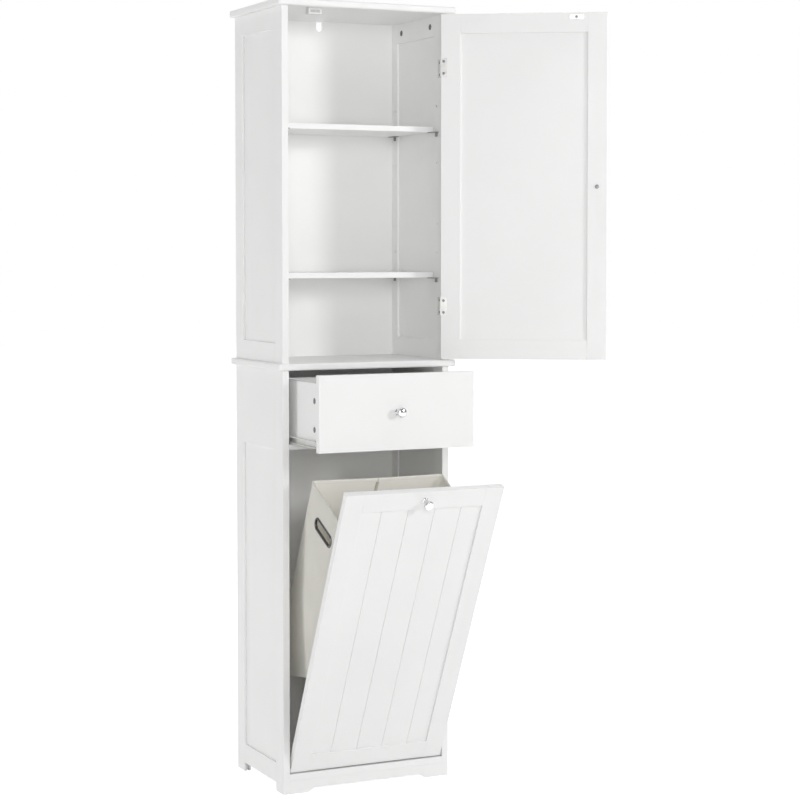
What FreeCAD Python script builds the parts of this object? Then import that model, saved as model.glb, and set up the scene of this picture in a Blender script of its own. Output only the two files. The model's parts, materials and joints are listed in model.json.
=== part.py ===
import FreeCAD, Part
import os
import re
import Sketcher

# A tall two-section bathroom cabinet, shown with its door, drawer and hamper open.
# X runs to the right, Y into the cabinet from the front plane of its sides, Z up from the floor.

# Driving dimensions, in millimetres and degrees
SIZES = [
    # carcass
    ("carcass_width", 396),
    ("carcass_depth", 272),
    ("total_height", 1700),
    ("mid_underside", 913.5),
    ("board", 15),
    ("overhang", 12),
    ("nose", 4.5),
    ("arris", 0.8),
    # framed sides
    ("side_stile", 43),
    ("upper_top_rail", 45),
    ("upper_bottom_rail", 42),
    ("lower_top_rail", 172),
    ("lower_bottom_rail", 43),
    ("foot_height", 18.5),
    ("panel", 5),
    ("groove_depth", 8),
    ("groove_play", 0.1),
    ("groove_spare", 0.8),
    # back, plinth and fixed boards
    ("back_panel", 5),
    ("back_inset", 10),
    ("back_groove", 6),
    ("notch_width", 15),
    ("notch_depth", 23),
    ("plinth_height", 28.5),
    ("bracket_height", 9),
    ("bracket_foot", 42),
    ("bracket_slope", 15),
    ("bracket_round", 7),
    ("divider", 12),
    ("divider_rise", 4.5),
    ("divider_setback", 17),
    # shelves and their supports
    ("shelf", 12),
    ("shelf_setback", 44),
    ("shelf_play", 1),
    ("shelf_lift", 5),
    ("peg_radius", 2.5),
    ("peg_play", 0.05),
    ("peg_depth", 8),
    ("peg_setback", 30),
    ("peg_spare", 1),
    ("tab_reach", 12),
    ("tab_length", 32),
    ("tab_lead", 8),
    ("tab_thickness", 1.5),
    ("tab_drop", 10),
    ("upper_row_lift", 496),
    ("lower_row_lift", 237),
    ("hole_pitch", 62),
    # cam locks
    ("cam_radius", 6.5),
    ("cam_depth", 9),
    ("cam_play", 0.2),
    ("cam_inset", 20),
    ("cam_slot_width", 2),
    ("cam_slot_length", 8),
    ("cam_slot_depth", 2.5),
    # upper door
    ("door_gap", 2.5),
    ("door_top_gap", 3),
    ("frame_width", 42.5),
    ("open_angle", 147),
    # hinges
    ("hinge_end", 115),
    ("hinge_length", 40),
    ("leaf", 1),
    ("frame_leaf_reach", 22),
    ("door_leaf_reach", 14),
    ("leaf_play", 0.2),
    ("leaf_space", 0.5),
    ("knuckle_radius", 2.6),
    ("knuckle_length", 13),
    ("knuckle_gap", 0.3),
    ("knuckle_clear", 0.4),
    ("hinge_pin_radius", 1.3),
    ("hinge_pin_play", 0.05),
    ("screw_pitch", 26),
    ("screw_inset", 8.5),
    ("screw_radius", 1.5),
    ("screw_play", 0.1),
    ("screw_length", 11),
    ("screw_head_radius", 3),
    # knobs
    ("knob_base_radius", 7),
    ("knob_base", 3),
    ("knob_stem_radius", 4.5),
    ("knob_stem", 13),
    ("knob_head_radius", 10.5),
    ("knob_head", 10),
    ("knob_round", 3.8),
    ("knob_bore_depth", 12),
    ("stud_radius", 2),
    ("stud_play", 0.1),
    ("stud_reach", 10),
    ("stud_head_radius", 4.5),
    ("stud_head", 2.2),
    # magnetic catch and strike plate
    ("catch_width", 30),
    ("catch_depth", 18),
    ("catch_height", 13),
    ("catch_from_edge", 67),
    ("catch_gap", 0.4),
    ("magnet_width", 22),
    ("magnet_depth", 8),
    ("magnet_height", 6),
    ("magnet_play", 0.1),
    ("strike_width", 32),
    ("strike_height", 11),
    ("strike", 1),
    ("strike_drop", 4),
    ("strike_round", 4),
    # drawer
    ("drawer_out", 154),
    ("drawer_front_height", 161.5),
    ("front_gap", 2.7),
    ("drawer_side", 12),
    ("drawer_clear", 7),
    ("drawer_side_lift", 7.5),
    ("drawer_side_height", 135),
    ("drawer_floor", 4),
    ("drawer_floor_lift", 14),
    ("drawer_floor_groove", 5),
    ("drawer_cam_inset", 33),
    ("drawer_cam_low", 38),
    ("drawer_cam_high", 98),
    ("runner_space", 13),
    ("runner_height", 17),
    ("runner_wall", 1.2),
    ("runner_reach", 11),
    ("runner_play", 0.4),
    ("runner_start", 20),
    # tilting hamper door
    ("hamper_lift", 4.5),
    ("hamper_reveal", 4.5),
    ("tilt_angle", 25.2),
    ("tilt_pin_lift", 10),
    ("tilt_pin_radius", 4),
    ("tilt_pin_play", 0.05),
    ("tilt_pin_bite", 10),
    ("bead_count", 4),
    ("bead_pitch", 60.7),
    ("bead_width", 2.4),
    ("bead_depth", 2.4),
    # laundry bag and its grommet handles
    ("bag_side_clear", 28),
    ("bag_wall", 2.5),
    ("bag_floor", 3.5),
    ("bag_gap", 0.3),
    ("bag_rim_drop", 103),
    ("bag_clear", 32.7),
    ("bag_bulge", 7),
    ("bag_front_lift", 234),
    ("bag_rear_lift", 100),
    ("grommet_length", 94),
    ("grommet_width", 30),
    ("grommet_band", 5),
    ("grommet", 2),
    ("grommet_depth", 101.3),
    ("grommet_drop", 59),
    ("grommet_play", 0.3),
]

doc = FreeCAD.newDocument("bathroom_cabinet")
sheet = doc.addObject("Spreadsheet::Sheet", "Sizes")
for row, (alias, size) in enumerate(SIZES, 1):
    sheet.set("A%d" % row, alias)
    sheet.set("B%d" % row, str(size))
    sheet.setAlias("B%d" % row, alias)
doc.recompute()
ALIASES = {alias for alias, size in SIZES}

# Sizes and places that follow from the driving dimensions
DERIVED = {
    "upper_row": "mid_underside + board + upper_row_lift",
    "lower_row": "mid_underside + board + lower_row_lift",
    "pivot_inset": "knuckle_radius + knuckle_clear",
    "pivot_forward": "knuckle_radius + knuckle_clear",
    "side_gap": "2 * leaf + leaf_space",
    "drawer_bottom": "mid_underside - door_gap - drawer_front_height",
    "drawer_length": "carcass_depth - back_inset - back_panel - board - drawer_clear",
    "divider_top": "drawer_bottom + divider_rise",
    "hamper_bottom": "plinth_height + board + hamper_lift",
    "hamper_height": "drawer_bottom - hamper_reveal - hamper_bottom",
    "bag_width": "carcass_width - 2 * board - 2 * bag_side_clear",
    "bag_depth": "carcass_depth - back_inset - back_panel - board - bag_gap - bag_bulge - bag_clear",
    "bag_rim": "hamper_bottom + hamper_height - bag_rim_drop",
    "bag_front_bottom": "hamper_bottom + bag_front_lift",
    "bag_rear_bottom": "hamper_bottom + bag_rear_lift",
}
HALF = "(carcass_width / 2)"
INNER = "(carcass_width / 2 - board)"
MID_TOP = "(mid_underside + board)"
TOP_UNDERSIDE = "(total_height - board)"
BACK_FRONT = "(carcass_depth - back_inset - back_panel)"
RECESS = "((board - panel) / 2)"
GROOVE_NEAR = "((board - panel) / 2 - groove_play)"
GROOVE_FAR = "((board + panel) / 2 + groove_play)"
PANEL_BITE = "(groove_depth - groove_spare)"
# A little under half, so that a rounded end keeps a sliver of its straight edge
OVAL_END = "0.49"

pieces = []


def cell(match):
    word = match[0]
    if word in DERIVED:
        return "(" + bound(DERIVED[word]) + ")"
    return "Sizes." + word if word in ALIASES else word


def bound(text):
    """Expression text whose size names point at their cells."""
    return re.sub(r"[a-z_]+", cell, text)


NO_TURN = "rotation(vector(0; 0; 1); 0)"


def placement(x, y, z, turn=NO_TURN):
    return bound("placement(vector(%s; %s; %s); %s)" % (x, y, z, turn))


def place(thing, x, y, z, frame=None, turn=NO_TURN):
    """Bind a piece to its place, turned about that place."""
    text = placement(x, y, z, turn)
    if frame:
        text = frame + ".Placement * " + text
    thing.setExpression("Placement", text)
    return thing


def keep(thing):
    pieces.append(thing)
    return thing


def new_body(label):
    body = doc.addObject("PartDesign::Body", label)
    body.Label = label
    return body


def group(label, members):
    """One piece made of several separate solids."""
    thing = doc.addObject("Part::Compound", label)
    thing.Label = label
    thing.Links = members
    return keep(thing)


def new_sketch(body, role, offset="0", corner=("0", "0")):
    """A sketch on an origin plane, raised by an offset, with its own origin at a corner."""
    sketch = body.newObject("Sketcher::SketchObject", body.Name + "_sketch")
    origin_plane = next(feature for feature in body.Origin.OriginFeatures if feature.Role == role)
    sketch.AttachmentSupport = [(origin_plane, "")]
    sketch.MapMode = "FlatFace"
    sketch.setExpression("AttachmentOffset", placement(*corner, offset))
    return sketch


def value(text):
    """What an expression comes to with the present sizes."""
    return float(sheet.evalExpression(bound(text)))


def start_point(x, y, mirrored):
    """Where a sketch point starts, so that its constraints have little to solve."""
    return FreeCAD.Vector(-value(x) if mirrored else value(x), value(y), 0)


def fix(sketch, geometry, point, axis, text, mirrored=False):
    """Hold one point of the sketch at a distance from its origin."""
    if text == "0":
        axis_line = -2 if axis == "X" else -1
        sketch.addConstraint(Sketcher.Constraint("PointOnObject", geometry, point, axis_line))
        return
    ends = (geometry, point, -1, 1) if mirrored else (-1, 1, geometry, point)
    index = sketch.addConstraint(Sketcher.Constraint("Distance" + axis, *ends, 1.0))
    sketch.renameConstraint(index, "place_%d" % index)
    sketch.setExpression("Constraints.place_%d" % index, bound(text))


def outline(sketch, points, mirrored=False):
    """A closed outline of straight lines, mirrored to negative X for right-hand pieces."""
    count = len(points)
    corners = [start_point(x, y, mirrored) for x, y in points]
    for index in range(count):
        sketch.addGeometry(Part.LineSegment(corners[index], corners[(index + 1) % count]), False)
    for index, (x, y) in enumerate(points):
        previous = index - 1 if index else count - 1
        sketch.addConstraint(Sketcher.Constraint("Coincident", previous, 2, index, 1))
        fix(sketch, index, 1, "X", x, mirrored)
        fix(sketch, index, 1, "Y", y)
    return sketch


def circle(sketch, x, y, radius, mirrored=False):
    start = Part.Circle(start_point(x, y, mirrored), FreeCAD.Vector(0, 0, 1), value(radius))
    index = sketch.addGeometry(start, False)
    fix(sketch, index, 3, "X", x, mirrored)
    fix(sketch, index, 3, "Y", y)
    size = sketch.addConstraint(Sketcher.Constraint("Radius", index, 1.0))
    sketch.renameConstraint(size, "radius_%d" % size)
    sketch.setExpression("Constraints.radius_%d" % size, bound(radius))
    return sketch


def pad(body, sketch, length, reverse=False):
    feature = body.newObject("PartDesign::Pad", body.Name + "_pad")
    feature.Profile = sketch
    feature.setExpression("Length", bound(length))
    feature.Reversed = reverse
    return feature


def pocket(body, sketch, length, reverse=False):
    """A cut from the sketch into the body, which has to take material away."""
    doc.recompute()
    before = body.Shape.Volume
    feature = body.newObject("PartDesign::Pocket", body.Name + "_pocket")
    feature.Profile = sketch
    feature.setExpression("Length", bound(length))
    feature.Reversed = reverse
    doc.recompute()
    if not body.Shape.Volume < before:
        raise RuntimeError(body.Label + ": a pocket cuts nothing")
    return feature


def drill(body, role, offset, centres, radius, depth, reverse=False, mirrored=False):
    sketch = new_sketch(body, role, offset)
    for x, y in centres:
        circle(sketch, x, y, radius, mirrored)
    return pocket(body, sketch, depth, reverse)


def soften(body, base, radius, chosen):
    """Round the chosen edges of a feature."""
    doc.recompute()
    names = ["Edge%d" % number for number, edge in enumerate(base.Shape.Edges, 1) if chosen(edge)]
    feature = body.newObject("PartDesign::Fillet", body.Name + "_round")
    feature.Base = (base, names)
    feature.setExpression("Radius", bound(radius))
    return feature


def extremes(point, box):
    """Which of the three coordinates lie on the faces of a bounding box."""
    pairs = ((point.x, box.XMin, box.XMax), (point.y, box.YMin, box.YMax), (point.z, box.ZMin, box.ZMax))
    return [min(abs(value - low), abs(value - high)) < 1e-4 for value, low, high in pairs]


def long_corners(feature, along):
    """Edges of a prism that run along one axis at the corners of its section."""
    box = feature.Shape.BoundBox
    wanted = [axis != along for axis in range(3)]
    return lambda edge: extremes(edge.CenterOfMass, box) == wanted


def inner_corners(feature, along, length):
    """Edges of a given length along one axis that lie inside the outline of the section."""
    box = feature.Shape.BoundBox

    def chosen(edge):
        found = extremes(edge.CenterOfMass, box)
        return abs(edge.Length - length) < 1e-6 and not any(found[:along] + found[along + 1:])
    return chosen


PAD_AXIS = {"YZ_Plane": 0, "XZ_Plane": 1, "XY_Plane": 2}


def prism(label, role, points, length, mirrored=False, soft=True):
    """A straight piece of constant section, with its long corners eased."""
    body = new_body(label)
    sketch = outline(new_sketch(body, role), points, mirrored)
    feature = pad(body, sketch, length, role == "XZ_Plane")
    if soft:
        doc.recompute()
        soften(body, feature, "arris", long_corners(feature, PAD_AXIS[role]))
    return body


def rectangle(width, height):
    return [("0", "0"), (width, "0"), (width, height), ("0", height)]


def slab(label, width, depth, height, soft=True, mirrored=False):
    """A plain board, with every edge eased."""
    body = new_body(label)
    feature = pad(body, outline(new_sketch(body, "XY_Plane"), rectangle(width, depth), mirrored), height)
    if soft:
        doc.recompute()
        rounding = body.newObject("PartDesign::Fillet", body.Name + "_round")
        rounding.Base = (feature, [""])
        rounding.UseAllEdges = True
        rounding.setExpression("Radius", bound("arris"))
    return body


def frame_object(name, x, y, z, turn):
    """The moving frame that a door, drawer or hamper is built in."""
    return place(doc.addObject("App::Placement", name), x, y, z, None, turn)


def capping_board(label, z):
    """A board that overhangs the front and sides with a rounded nose."""
    body = new_body(label)
    width, depth = "carcass_width + 2 * overhang", "carcass_depth + overhang"
    feature = pad(body, outline(new_sketch(body, "XY_Plane"), rectangle(width, depth)), "board")
    doc.recompute()
    back = feature.Shape.BoundBox.YMax
    soften(body, feature, "nose", lambda edge: edge.CenterOfMass.y < back - 1e-4)
    keep(place(body, "-%s - overhang" % HALF, "-overhang", z))


# Sections of the framed sides, doors and hamper: a groove in the middle of one edge holds the panel
def grooved_edge_far(width):
    return [("0", "0"), ("board", "0"), ("board", width), (GROOVE_FAR, width),
            (GROOVE_FAR, width + " - groove_depth"), (GROOVE_NEAR, width + " - groove_depth"),
            (GROOVE_NEAR, width), ("0", width)]


def grooved_edge_near(width):
    return [("0", "0"), (GROOVE_NEAR, "0"), (GROOVE_NEAR, "groove_depth"), (GROOVE_FAR, "groove_depth"),
            (GROOVE_FAR, "0"), ("board", "0"), ("board", width), ("0", width)]


def rear_stile_section():
    """The rear stile also has a groove in its inner face for the back panel."""
    near = "side_stile - back_inset - back_panel - groove_play"
    far = "side_stile - back_inset + groove_play"
    section = grooved_edge_near("side_stile")
    section[6:6] = [("board", near), ("board - back_groove", near),
                    ("board - back_groove", far), ("board", far)]
    return section


def swapped(points):
    return [(y, x) for x, y in points]


def peg_rows():
    """Heights of the shelf support holes, above the foot of the upper stiles."""
    rows = [row + " + %d * hole_pitch" % step for row in ("upper_row", "lower_row") for step in (-1, 0, 1)]
    return ["%s - %s" % (row, MID_TOP) for row in rows]


def hinge_foot(end):
    """Lower end of the hinge nearest the given end of the door."""
    if end == "upper":
        return "(%s - door_top_gap - hinge_end - hinge_length / 2)" % TOP_UNDERSIDE
    return "(%s + door_gap + hinge_end - hinge_length / 2)" % MID_TOP


def screw_heights(end):
    return ["%s + hinge_length / 2 %s screw_pitch / 2" % (hinge_foot(end), sign) for sign in "-+"]


LEAF_SCREW_Y = "(frame_leaf_reach - screw_inset)"
SCREW_HOLE = "screw_radius + screw_play"
HEAD_HOLE = "screw_head_radius + screw_play"
SCREW_HOLE_DEPTH = "screw_length + screw_play"

# The four framed sides
SECTIONS = {
    "upper": (MID_TOP, MID_TOP, "upper_bottom_rail", TOP_UNDERSIDE, "upper_top_rail"),
    "lower": ("0", "foot_height", "lower_bottom_rail", "mid_underside", "lower_top_rail"),
}


def inner_face_drill(body, right, centres, radius, depth):
    """Holes in the face of a side piece that looks into the cabinet."""
    drill(body, "YZ_Plane", "-board" if right else "board", centres, radius, depth, right)


def side(section, hand):
    stile_foot, rail_foot, bottom_rail, top, top_rail = SECTIONS[section]
    right = hand == "right"
    name = section + "_" + hand
    face = HALF if right else "-" + HALF
    stile_height = "%s - %s" % (top, stile_foot)
    rail_length = "carcass_depth - 2 * side_stile"
    front = prism(name + "_front_stile", "XY_Plane", grooved_edge_far("side_stile"), stile_height, right)
    rear = prism(name + "_rear_stile", "XY_Plane", rear_stile_section(), stile_height, right)
    low = prism(name + "_bottom_rail", "XZ_Plane", grooved_edge_far(bottom_rail), rail_length, right)
    high = prism(name + "_top_rail", "XZ_Plane", grooved_edge_near(top_rail), rail_length, right)
    if section == "upper":
        rows = peg_rows()
        hole = "peg_radius + peg_play"
        inner_face_drill(front, right, [("peg_setback", z) for z in rows], hole, "peg_depth + peg_spare")
        rear_y = "side_stile - peg_setback"
        inner_face_drill(rear, right, [(rear_y, z) for z in rows], hole, "peg_depth + peg_spare")
        cams = [("cam_inset", "upper_top_rail / 2"), (rail_length + " - cam_inset", "upper_top_rail / 2")]
        inner_face_drill(high, right, cams, "cam_radius + cam_play", "cam_depth")
        if right:
            heights = screw_heights("upper") + screw_heights("lower")
            screws = [(LEAF_SCREW_Y, "%s - %s" % (z, MID_TOP)) for z in heights]
            inner_face_drill(front, right, screws, SCREW_HOLE, SCREW_HOLE_DEPTH)
    else:
        pin = [("board / 2", "hamper_bottom + tilt_pin_lift")]
        inner_face_drill(front, right, pin, "tilt_pin_radius + tilt_pin_play", "tilt_pin_bite")
    place(front, face, "0", stile_foot)
    place(rear, face, "carcass_depth - side_stile", stile_foot)
    place(low, face, "side_stile", rail_foot)
    place(high, face, "side_stile", "%s - %s" % (top, top_rail))
    group(name + "_frame", [front, rear, low, high])
    panel_foot = "%s + %s - %s" % (rail_foot, bottom_rail, PANEL_BITE)
    panel_height = "%s - %s - (%s)" % (top, top_rail, panel_foot) + " + " + PANEL_BITE
    panel_run = "%s + 2 * %s" % (rail_length, PANEL_BITE)
    panel = slab(name + "_panel", "panel", panel_run, panel_height, False, right)
    panel_x = face + (" - " if right else " + ") + RECESS
    keep(place(panel, panel_x, "side_stile - " + PANEL_BITE, panel_foot))


for section in SECTIONS:
    for hand in ("left", "right"):
        side(section, hand)

capping_board("top_board", TOP_UNDERSIDE)
capping_board("mid_board", "mid_underside")

# Back panels, the upper one with a round-ended notch at the middle of its top edge
BACK_WIDTH = "2 * %s + 2 * (back_groove - groove_spare)" % INNER


def back(label, foot, top):
    body = slab(label, BACK_WIDTH, "back_panel", "%s - %s" % (top, foot), False)
    return keep(place(body, "-(%s) / 2" % BACK_WIDTH, BACK_FRONT, foot))


UPPER_BACK_HEIGHT = "(%s - %s)" % (TOP_UNDERSIDE, MID_TOP)
upper_back = back("upper_back_panel", MID_TOP, TOP_UNDERSIDE)
NOTCH_LEFT = "(%s) / 2 - notch_width / 2" % BACK_WIDTH
NOTCH_RIGHT = "(%s) / 2 + notch_width / 2" % BACK_WIDTH
NOTCH_FOOT = "%s - notch_depth" % UPPER_BACK_HEIGHT
notch = [(NOTCH_LEFT, NOTCH_FOOT), (NOTCH_RIGHT, NOTCH_FOOT),
         (NOTCH_RIGHT, UPPER_BACK_HEIGHT), (NOTCH_LEFT, UPPER_BACK_HEIGHT)]
notch_cut = pocket(upper_back, outline(new_sketch(upper_back, "XZ_Plane"), notch), "back_panel")
soften(upper_back, notch_cut, "notch_width * " + OVAL_END, inner_corners(notch_cut, 1, sheet.back_panel))
back("lower_back_panel", "plinth_height", "mid_underside")

# Floor, divider and plinth of the lower section
keep(place(slab("bottom_panel", "2 * " + INNER, BACK_FRONT, "board"), "-" + INNER, "0", "plinth_height"))
divider_depth = BACK_FRONT + " - divider_setback"
keep(place(slab("divider_panel", "2 * " + INNER, divider_depth, "divider"),
           "-" + INNER, "divider_setback", "divider_top - divider"))


def plinth():
    """Front plinth with a bracket foot at each end and rounded shoulders between."""
    width = "2 * " + INNER
    shoulder = "bracket_foot + bracket_slope"
    section = [("0", "0"), ("bracket_foot", "0"), (shoulder, "bracket_height"),
               ("%s - (%s)" % (width, shoulder), "bracket_height"), (width + " - bracket_foot", "0"),
               (width, "0"), (width, "plinth_height"), ("0", "plinth_height")]
    body = new_body("plinth")
    feature = pad(body, outline(new_sketch(body, "XZ_Plane"), section), "board", True)
    doc.recompute()
    box = feature.Shape.BoundBox
    soften(body, feature, "bracket_round",
           lambda edge: (abs(edge.Length - sheet.board) < 1e-6
                         and not any(extremes(edge.CenterOfMass, box)[:2])))
    keep(place(body, "-" + INNER, "0", "0"))


plinth()

# Shelves on L-shaped metal supports
SHELF_WIDTH = "2 * (%s - shelf_play)" % INNER
SHELF_DEPTH = "%s - shelf_setback - shelf_play" % BACK_FRONT
SHELF_PEGS = {"upper_shelf": "upper_row", "lower_shelf": "lower_row - hole_pitch"}


def shelf_support(label, hand, y, z, rearward):
    """A peg with a small plate on the side and a tab under the shelf."""
    right = hand == "right"
    body = new_body(label)
    tab = rectangle("tab_reach", "tab_length")
    tab_sketch = new_sketch(body, "XY_Plane", "shelf_lift - tab_thickness")
    pad(body, outline(tab_sketch, tab, right), "tab_thickness")
    peg_y = "tab_lead + peg_radius" if rearward else "tab_length - tab_lead - peg_radius"
    plate_y = peg_y + " - tab_drop / 2"
    plate = [("0", plate_y), ("tab_thickness", plate_y), ("tab_thickness", plate_y + " + tab_drop"),
             ("0", plate_y + " + tab_drop")]
    pad(body, outline(new_sketch(body, "XY_Plane", "shelf_lift - tab_drop"), plate, right), "tab_drop")
    peg_sketch = circle(new_sketch(body, "YZ_Plane"), peg_y, "0", "peg_radius")
    pad(body, peg_sketch, "peg_depth", not right)
    x = INNER if right else "-" + INNER
    return place(body, x, "%s - (%s)" % (y, peg_y), z)


supports = []
for shelf_name, peg_z in SHELF_PEGS.items():
    shelf_body = slab(shelf_name, SHELF_WIDTH, SHELF_DEPTH, "shelf")
    keep(place(shelf_body, "-%s + shelf_play" % INNER, "shelf_setback", peg_z + " + shelf_lift"))
    for hand in ("left", "right"):
        for end, y in (("front", "peg_setback"), ("rear", "carcass_depth - peg_setback")):
            label = "%s_%s_%s_support" % (shelf_name, hand, end)
            supports.append(shelf_support(label, hand, y, peg_z, end == "front"))
group("shelf_supports", supports)


def cam(label, right):
    """A round cam with a turning slot, one of those that pull the top board down on the sides."""
    body = new_body(label)
    pad(body, circle(new_sketch(body, "YZ_Plane"), "0", "0", "cam_radius"), "cam_depth")
    offset = "0" if right else "cam_depth"
    slot = new_sketch(body, "YZ_Plane", offset, ("-cam_slot_width / 2", "-cam_slot_length / 2"))
    pocket(body, outline(slot, rectangle("cam_slot_width", "cam_slot_length")), "cam_slot_depth", right)
    return body


CAM_Z = "total_height - board - upper_top_rail / 2"
cams = []
for hand in ("left", "right"):
    right = hand == "right"
    for end, y in (("front", "side_stile + cam_inset"), ("rear", "carcass_depth - side_stile - cam_inset")):
        x = INNER if right else "-%s - cam_depth" % INNER
        cams.append(place(cam("upper_cam_%s_%s" % (hand, end), right), x, y, CAM_Z))
group("upper_cam_locks", cams)


def panel_width(door_width):
    return "(%s - 2 * frame_width + 2 * %s)" % (door_width, PANEL_BITE)


def stub_tenons(rail, foot, rail_length):
    """Tongues on both ends of a rail, which fill the stiles' grooves beside it."""
    for offset, reverse in (("0", True), (rail_length, False)):
        sketch = new_sketch(rail, "YZ_Plane", offset, (RECESS, foot))
        outline(sketch, rectangle("panel", "frame_width - groove_depth"))
        pad(rail, sketch, PANEL_BITE, reverse)


# Doors: stiles full height, rails between them, a panel in the grooves
def framed_door(name, frame, x, y, z, width, height, stile_names):
    first, second = stile_names
    rail_length = "%s - 2 * frame_width" % width
    left = prism(name + first, "XY_Plane", swapped(grooved_edge_far("frame_width")), height)
    right = prism(name + second, "XY_Plane", swapped(grooved_edge_near("frame_width")), height)
    low = prism(name + "_bottom_rail", "YZ_Plane", grooved_edge_far("frame_width"), rail_length)
    high = prism(name + "_top_rail", "YZ_Plane", grooved_edge_near("frame_width"), rail_length)
    stub_tenons(low, "0", rail_length)
    stub_tenons(high, "groove_depth", rail_length)
    panel_height = "%s - 2 * frame_width + 2 * %s" % (height, PANEL_BITE)
    panel = slab(name + "_panel", panel_width(width), "panel", panel_height, False)
    inside = "frame_width - " + PANEL_BITE
    keep(place(left, x, y, z, frame))
    keep(place(right, "%s + %s - frame_width" % (x, width), y, z, frame))
    keep(place(low, x + " + frame_width", y, z, frame))
    keep(place(high, x + " + frame_width", y, "%s + %s - frame_width" % (z, height), frame))
    keep(place(panel, "%s + %s" % (x, inside), "%s + %s" % (y, RECESS), "%s + %s" % (z, inside), frame))
    return {"left": left, "right": right, "top": high, "panel": panel}


def knob(name, frame, x, y, z):
    """A turned knob whose axis points out of the front, and the stud that holds it."""
    body = new_body(name + "_knob")
    stem_top = "knob_base + knob_stem"
    head_top = stem_top + " + knob_head"
    section = [("0", "0"), ("knob_base_radius", "0"), ("knob_base_radius", "knob_base"),
               ("knob_stem_radius", "knob_base"), ("knob_stem_radius", stem_top),
               ("knob_head_radius", stem_top),
               ("knob_head_radius", head_top), ("0", head_top)]
    sketch = outline(new_sketch(body, "XZ_Plane"), section)
    turned = body.newObject("PartDesign::Revolution", body.Name + "_turned")
    turned.Profile = sketch
    turned.ReferenceAxis = (sketch, ["V_Axis"])
    turned.Angle = 360
    doc.recompute()
    soften(body, turned, "knob_round",
           lambda edge: (hasattr(edge.Curve, "Radius")
                         and abs(edge.Curve.Radius - sheet.knob_head_radius) < 1e-6))
    drill(body, "XY_Plane", "0", [("0", "0")], "stud_radius + stud_play", "knob_bore_depth", True)
    facing = "rotation(vector(1; 0; 0); 90)"
    keep(place(body, x, y, z, frame, facing))
    stud = new_body(name + "_knob_screw")
    pad(stud, circle(new_sketch(stud, "XY_Plane"), "0", "0", "stud_radius"), "board + stud_reach")
    pad(stud, circle(new_sketch(stud, "XY_Plane"), "0", "0", "stud_head_radius"), "stud_head", True)
    keep(place(stud, x, "%s + board" % y, z, frame, facing))


DOOR_WIDTH = "(2 * %s - 2 * side_gap)" % INNER
DOOR_HEIGHT = "(%s - %s - door_top_gap - door_gap)" % (TOP_UNDERSIDE, MID_TOP)
DOOR_FOOT = "(%s + door_gap)" % MID_TOP
# In the door's own frame the hinge axis is the origin and the closed door lies to its left
DOOR_EDGE = "(pivot_inset - side_gap)"
DOOR_LEFT = "(%s - %s)" % (DOOR_EDGE, DOOR_WIDTH)
frame_object("door_swing", INNER + " - pivot_inset", "-pivot_forward", "0",
             "rotation(vector(0; 0; 1); open_angle)")
door = framed_door("door", "door_swing", DOOR_LEFT, "pivot_forward", DOOR_FOOT, DOOR_WIDTH, DOOR_HEIGHT,
                   ("_free_stile", "_hinge_stile"))
STUD_HOLE = "stud_radius + stud_play"
drill(door["left"], "XZ_Plane", "0", [("frame_width / 2", DOOR_HEIGHT + " / 2")], STUD_HOLE, "board")
DOOR_SCREW_X = "(frame_width + leaf - door_leaf_reach / 2)"
door_screws = [(DOOR_SCREW_X, "%s - %s" % (z, DOOR_FOOT))
               for end in ("upper", "lower") for z in screw_heights(end)]
drill(door["right"], "XZ_Plane", "-board", door_screws, SCREW_HOLE, SCREW_HOLE_DEPTH, True)
knob("door", "door_swing", DOOR_LEFT + " + frame_width / 2", "pivot_forward",
     "%s + %s / 2" % (DOOR_FOOT, DOOR_HEIGHT))


# Hinges: one leaf on the side, one wrapped round the edge of the door, and a pin
def leaf_block(body, x0, x1, y0, y1, z0, length):
    points = [(x0, y0), (x1, y0), (x1, y1), (x0, y1)]
    pad(body, outline(new_sketch(body, "XY_Plane", z0), points), length)


def knuckle(body, z0, length):
    pad(body, circle(new_sketch(body, "XY_Plane", z0), "0", "0", "knuckle_radius"), length)


def bore_knuckles(body):
    drill(body, "XY_Plane", "0", [("0", "0")], "hinge_pin_radius + hinge_pin_play", "hinge_length", True)


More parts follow.
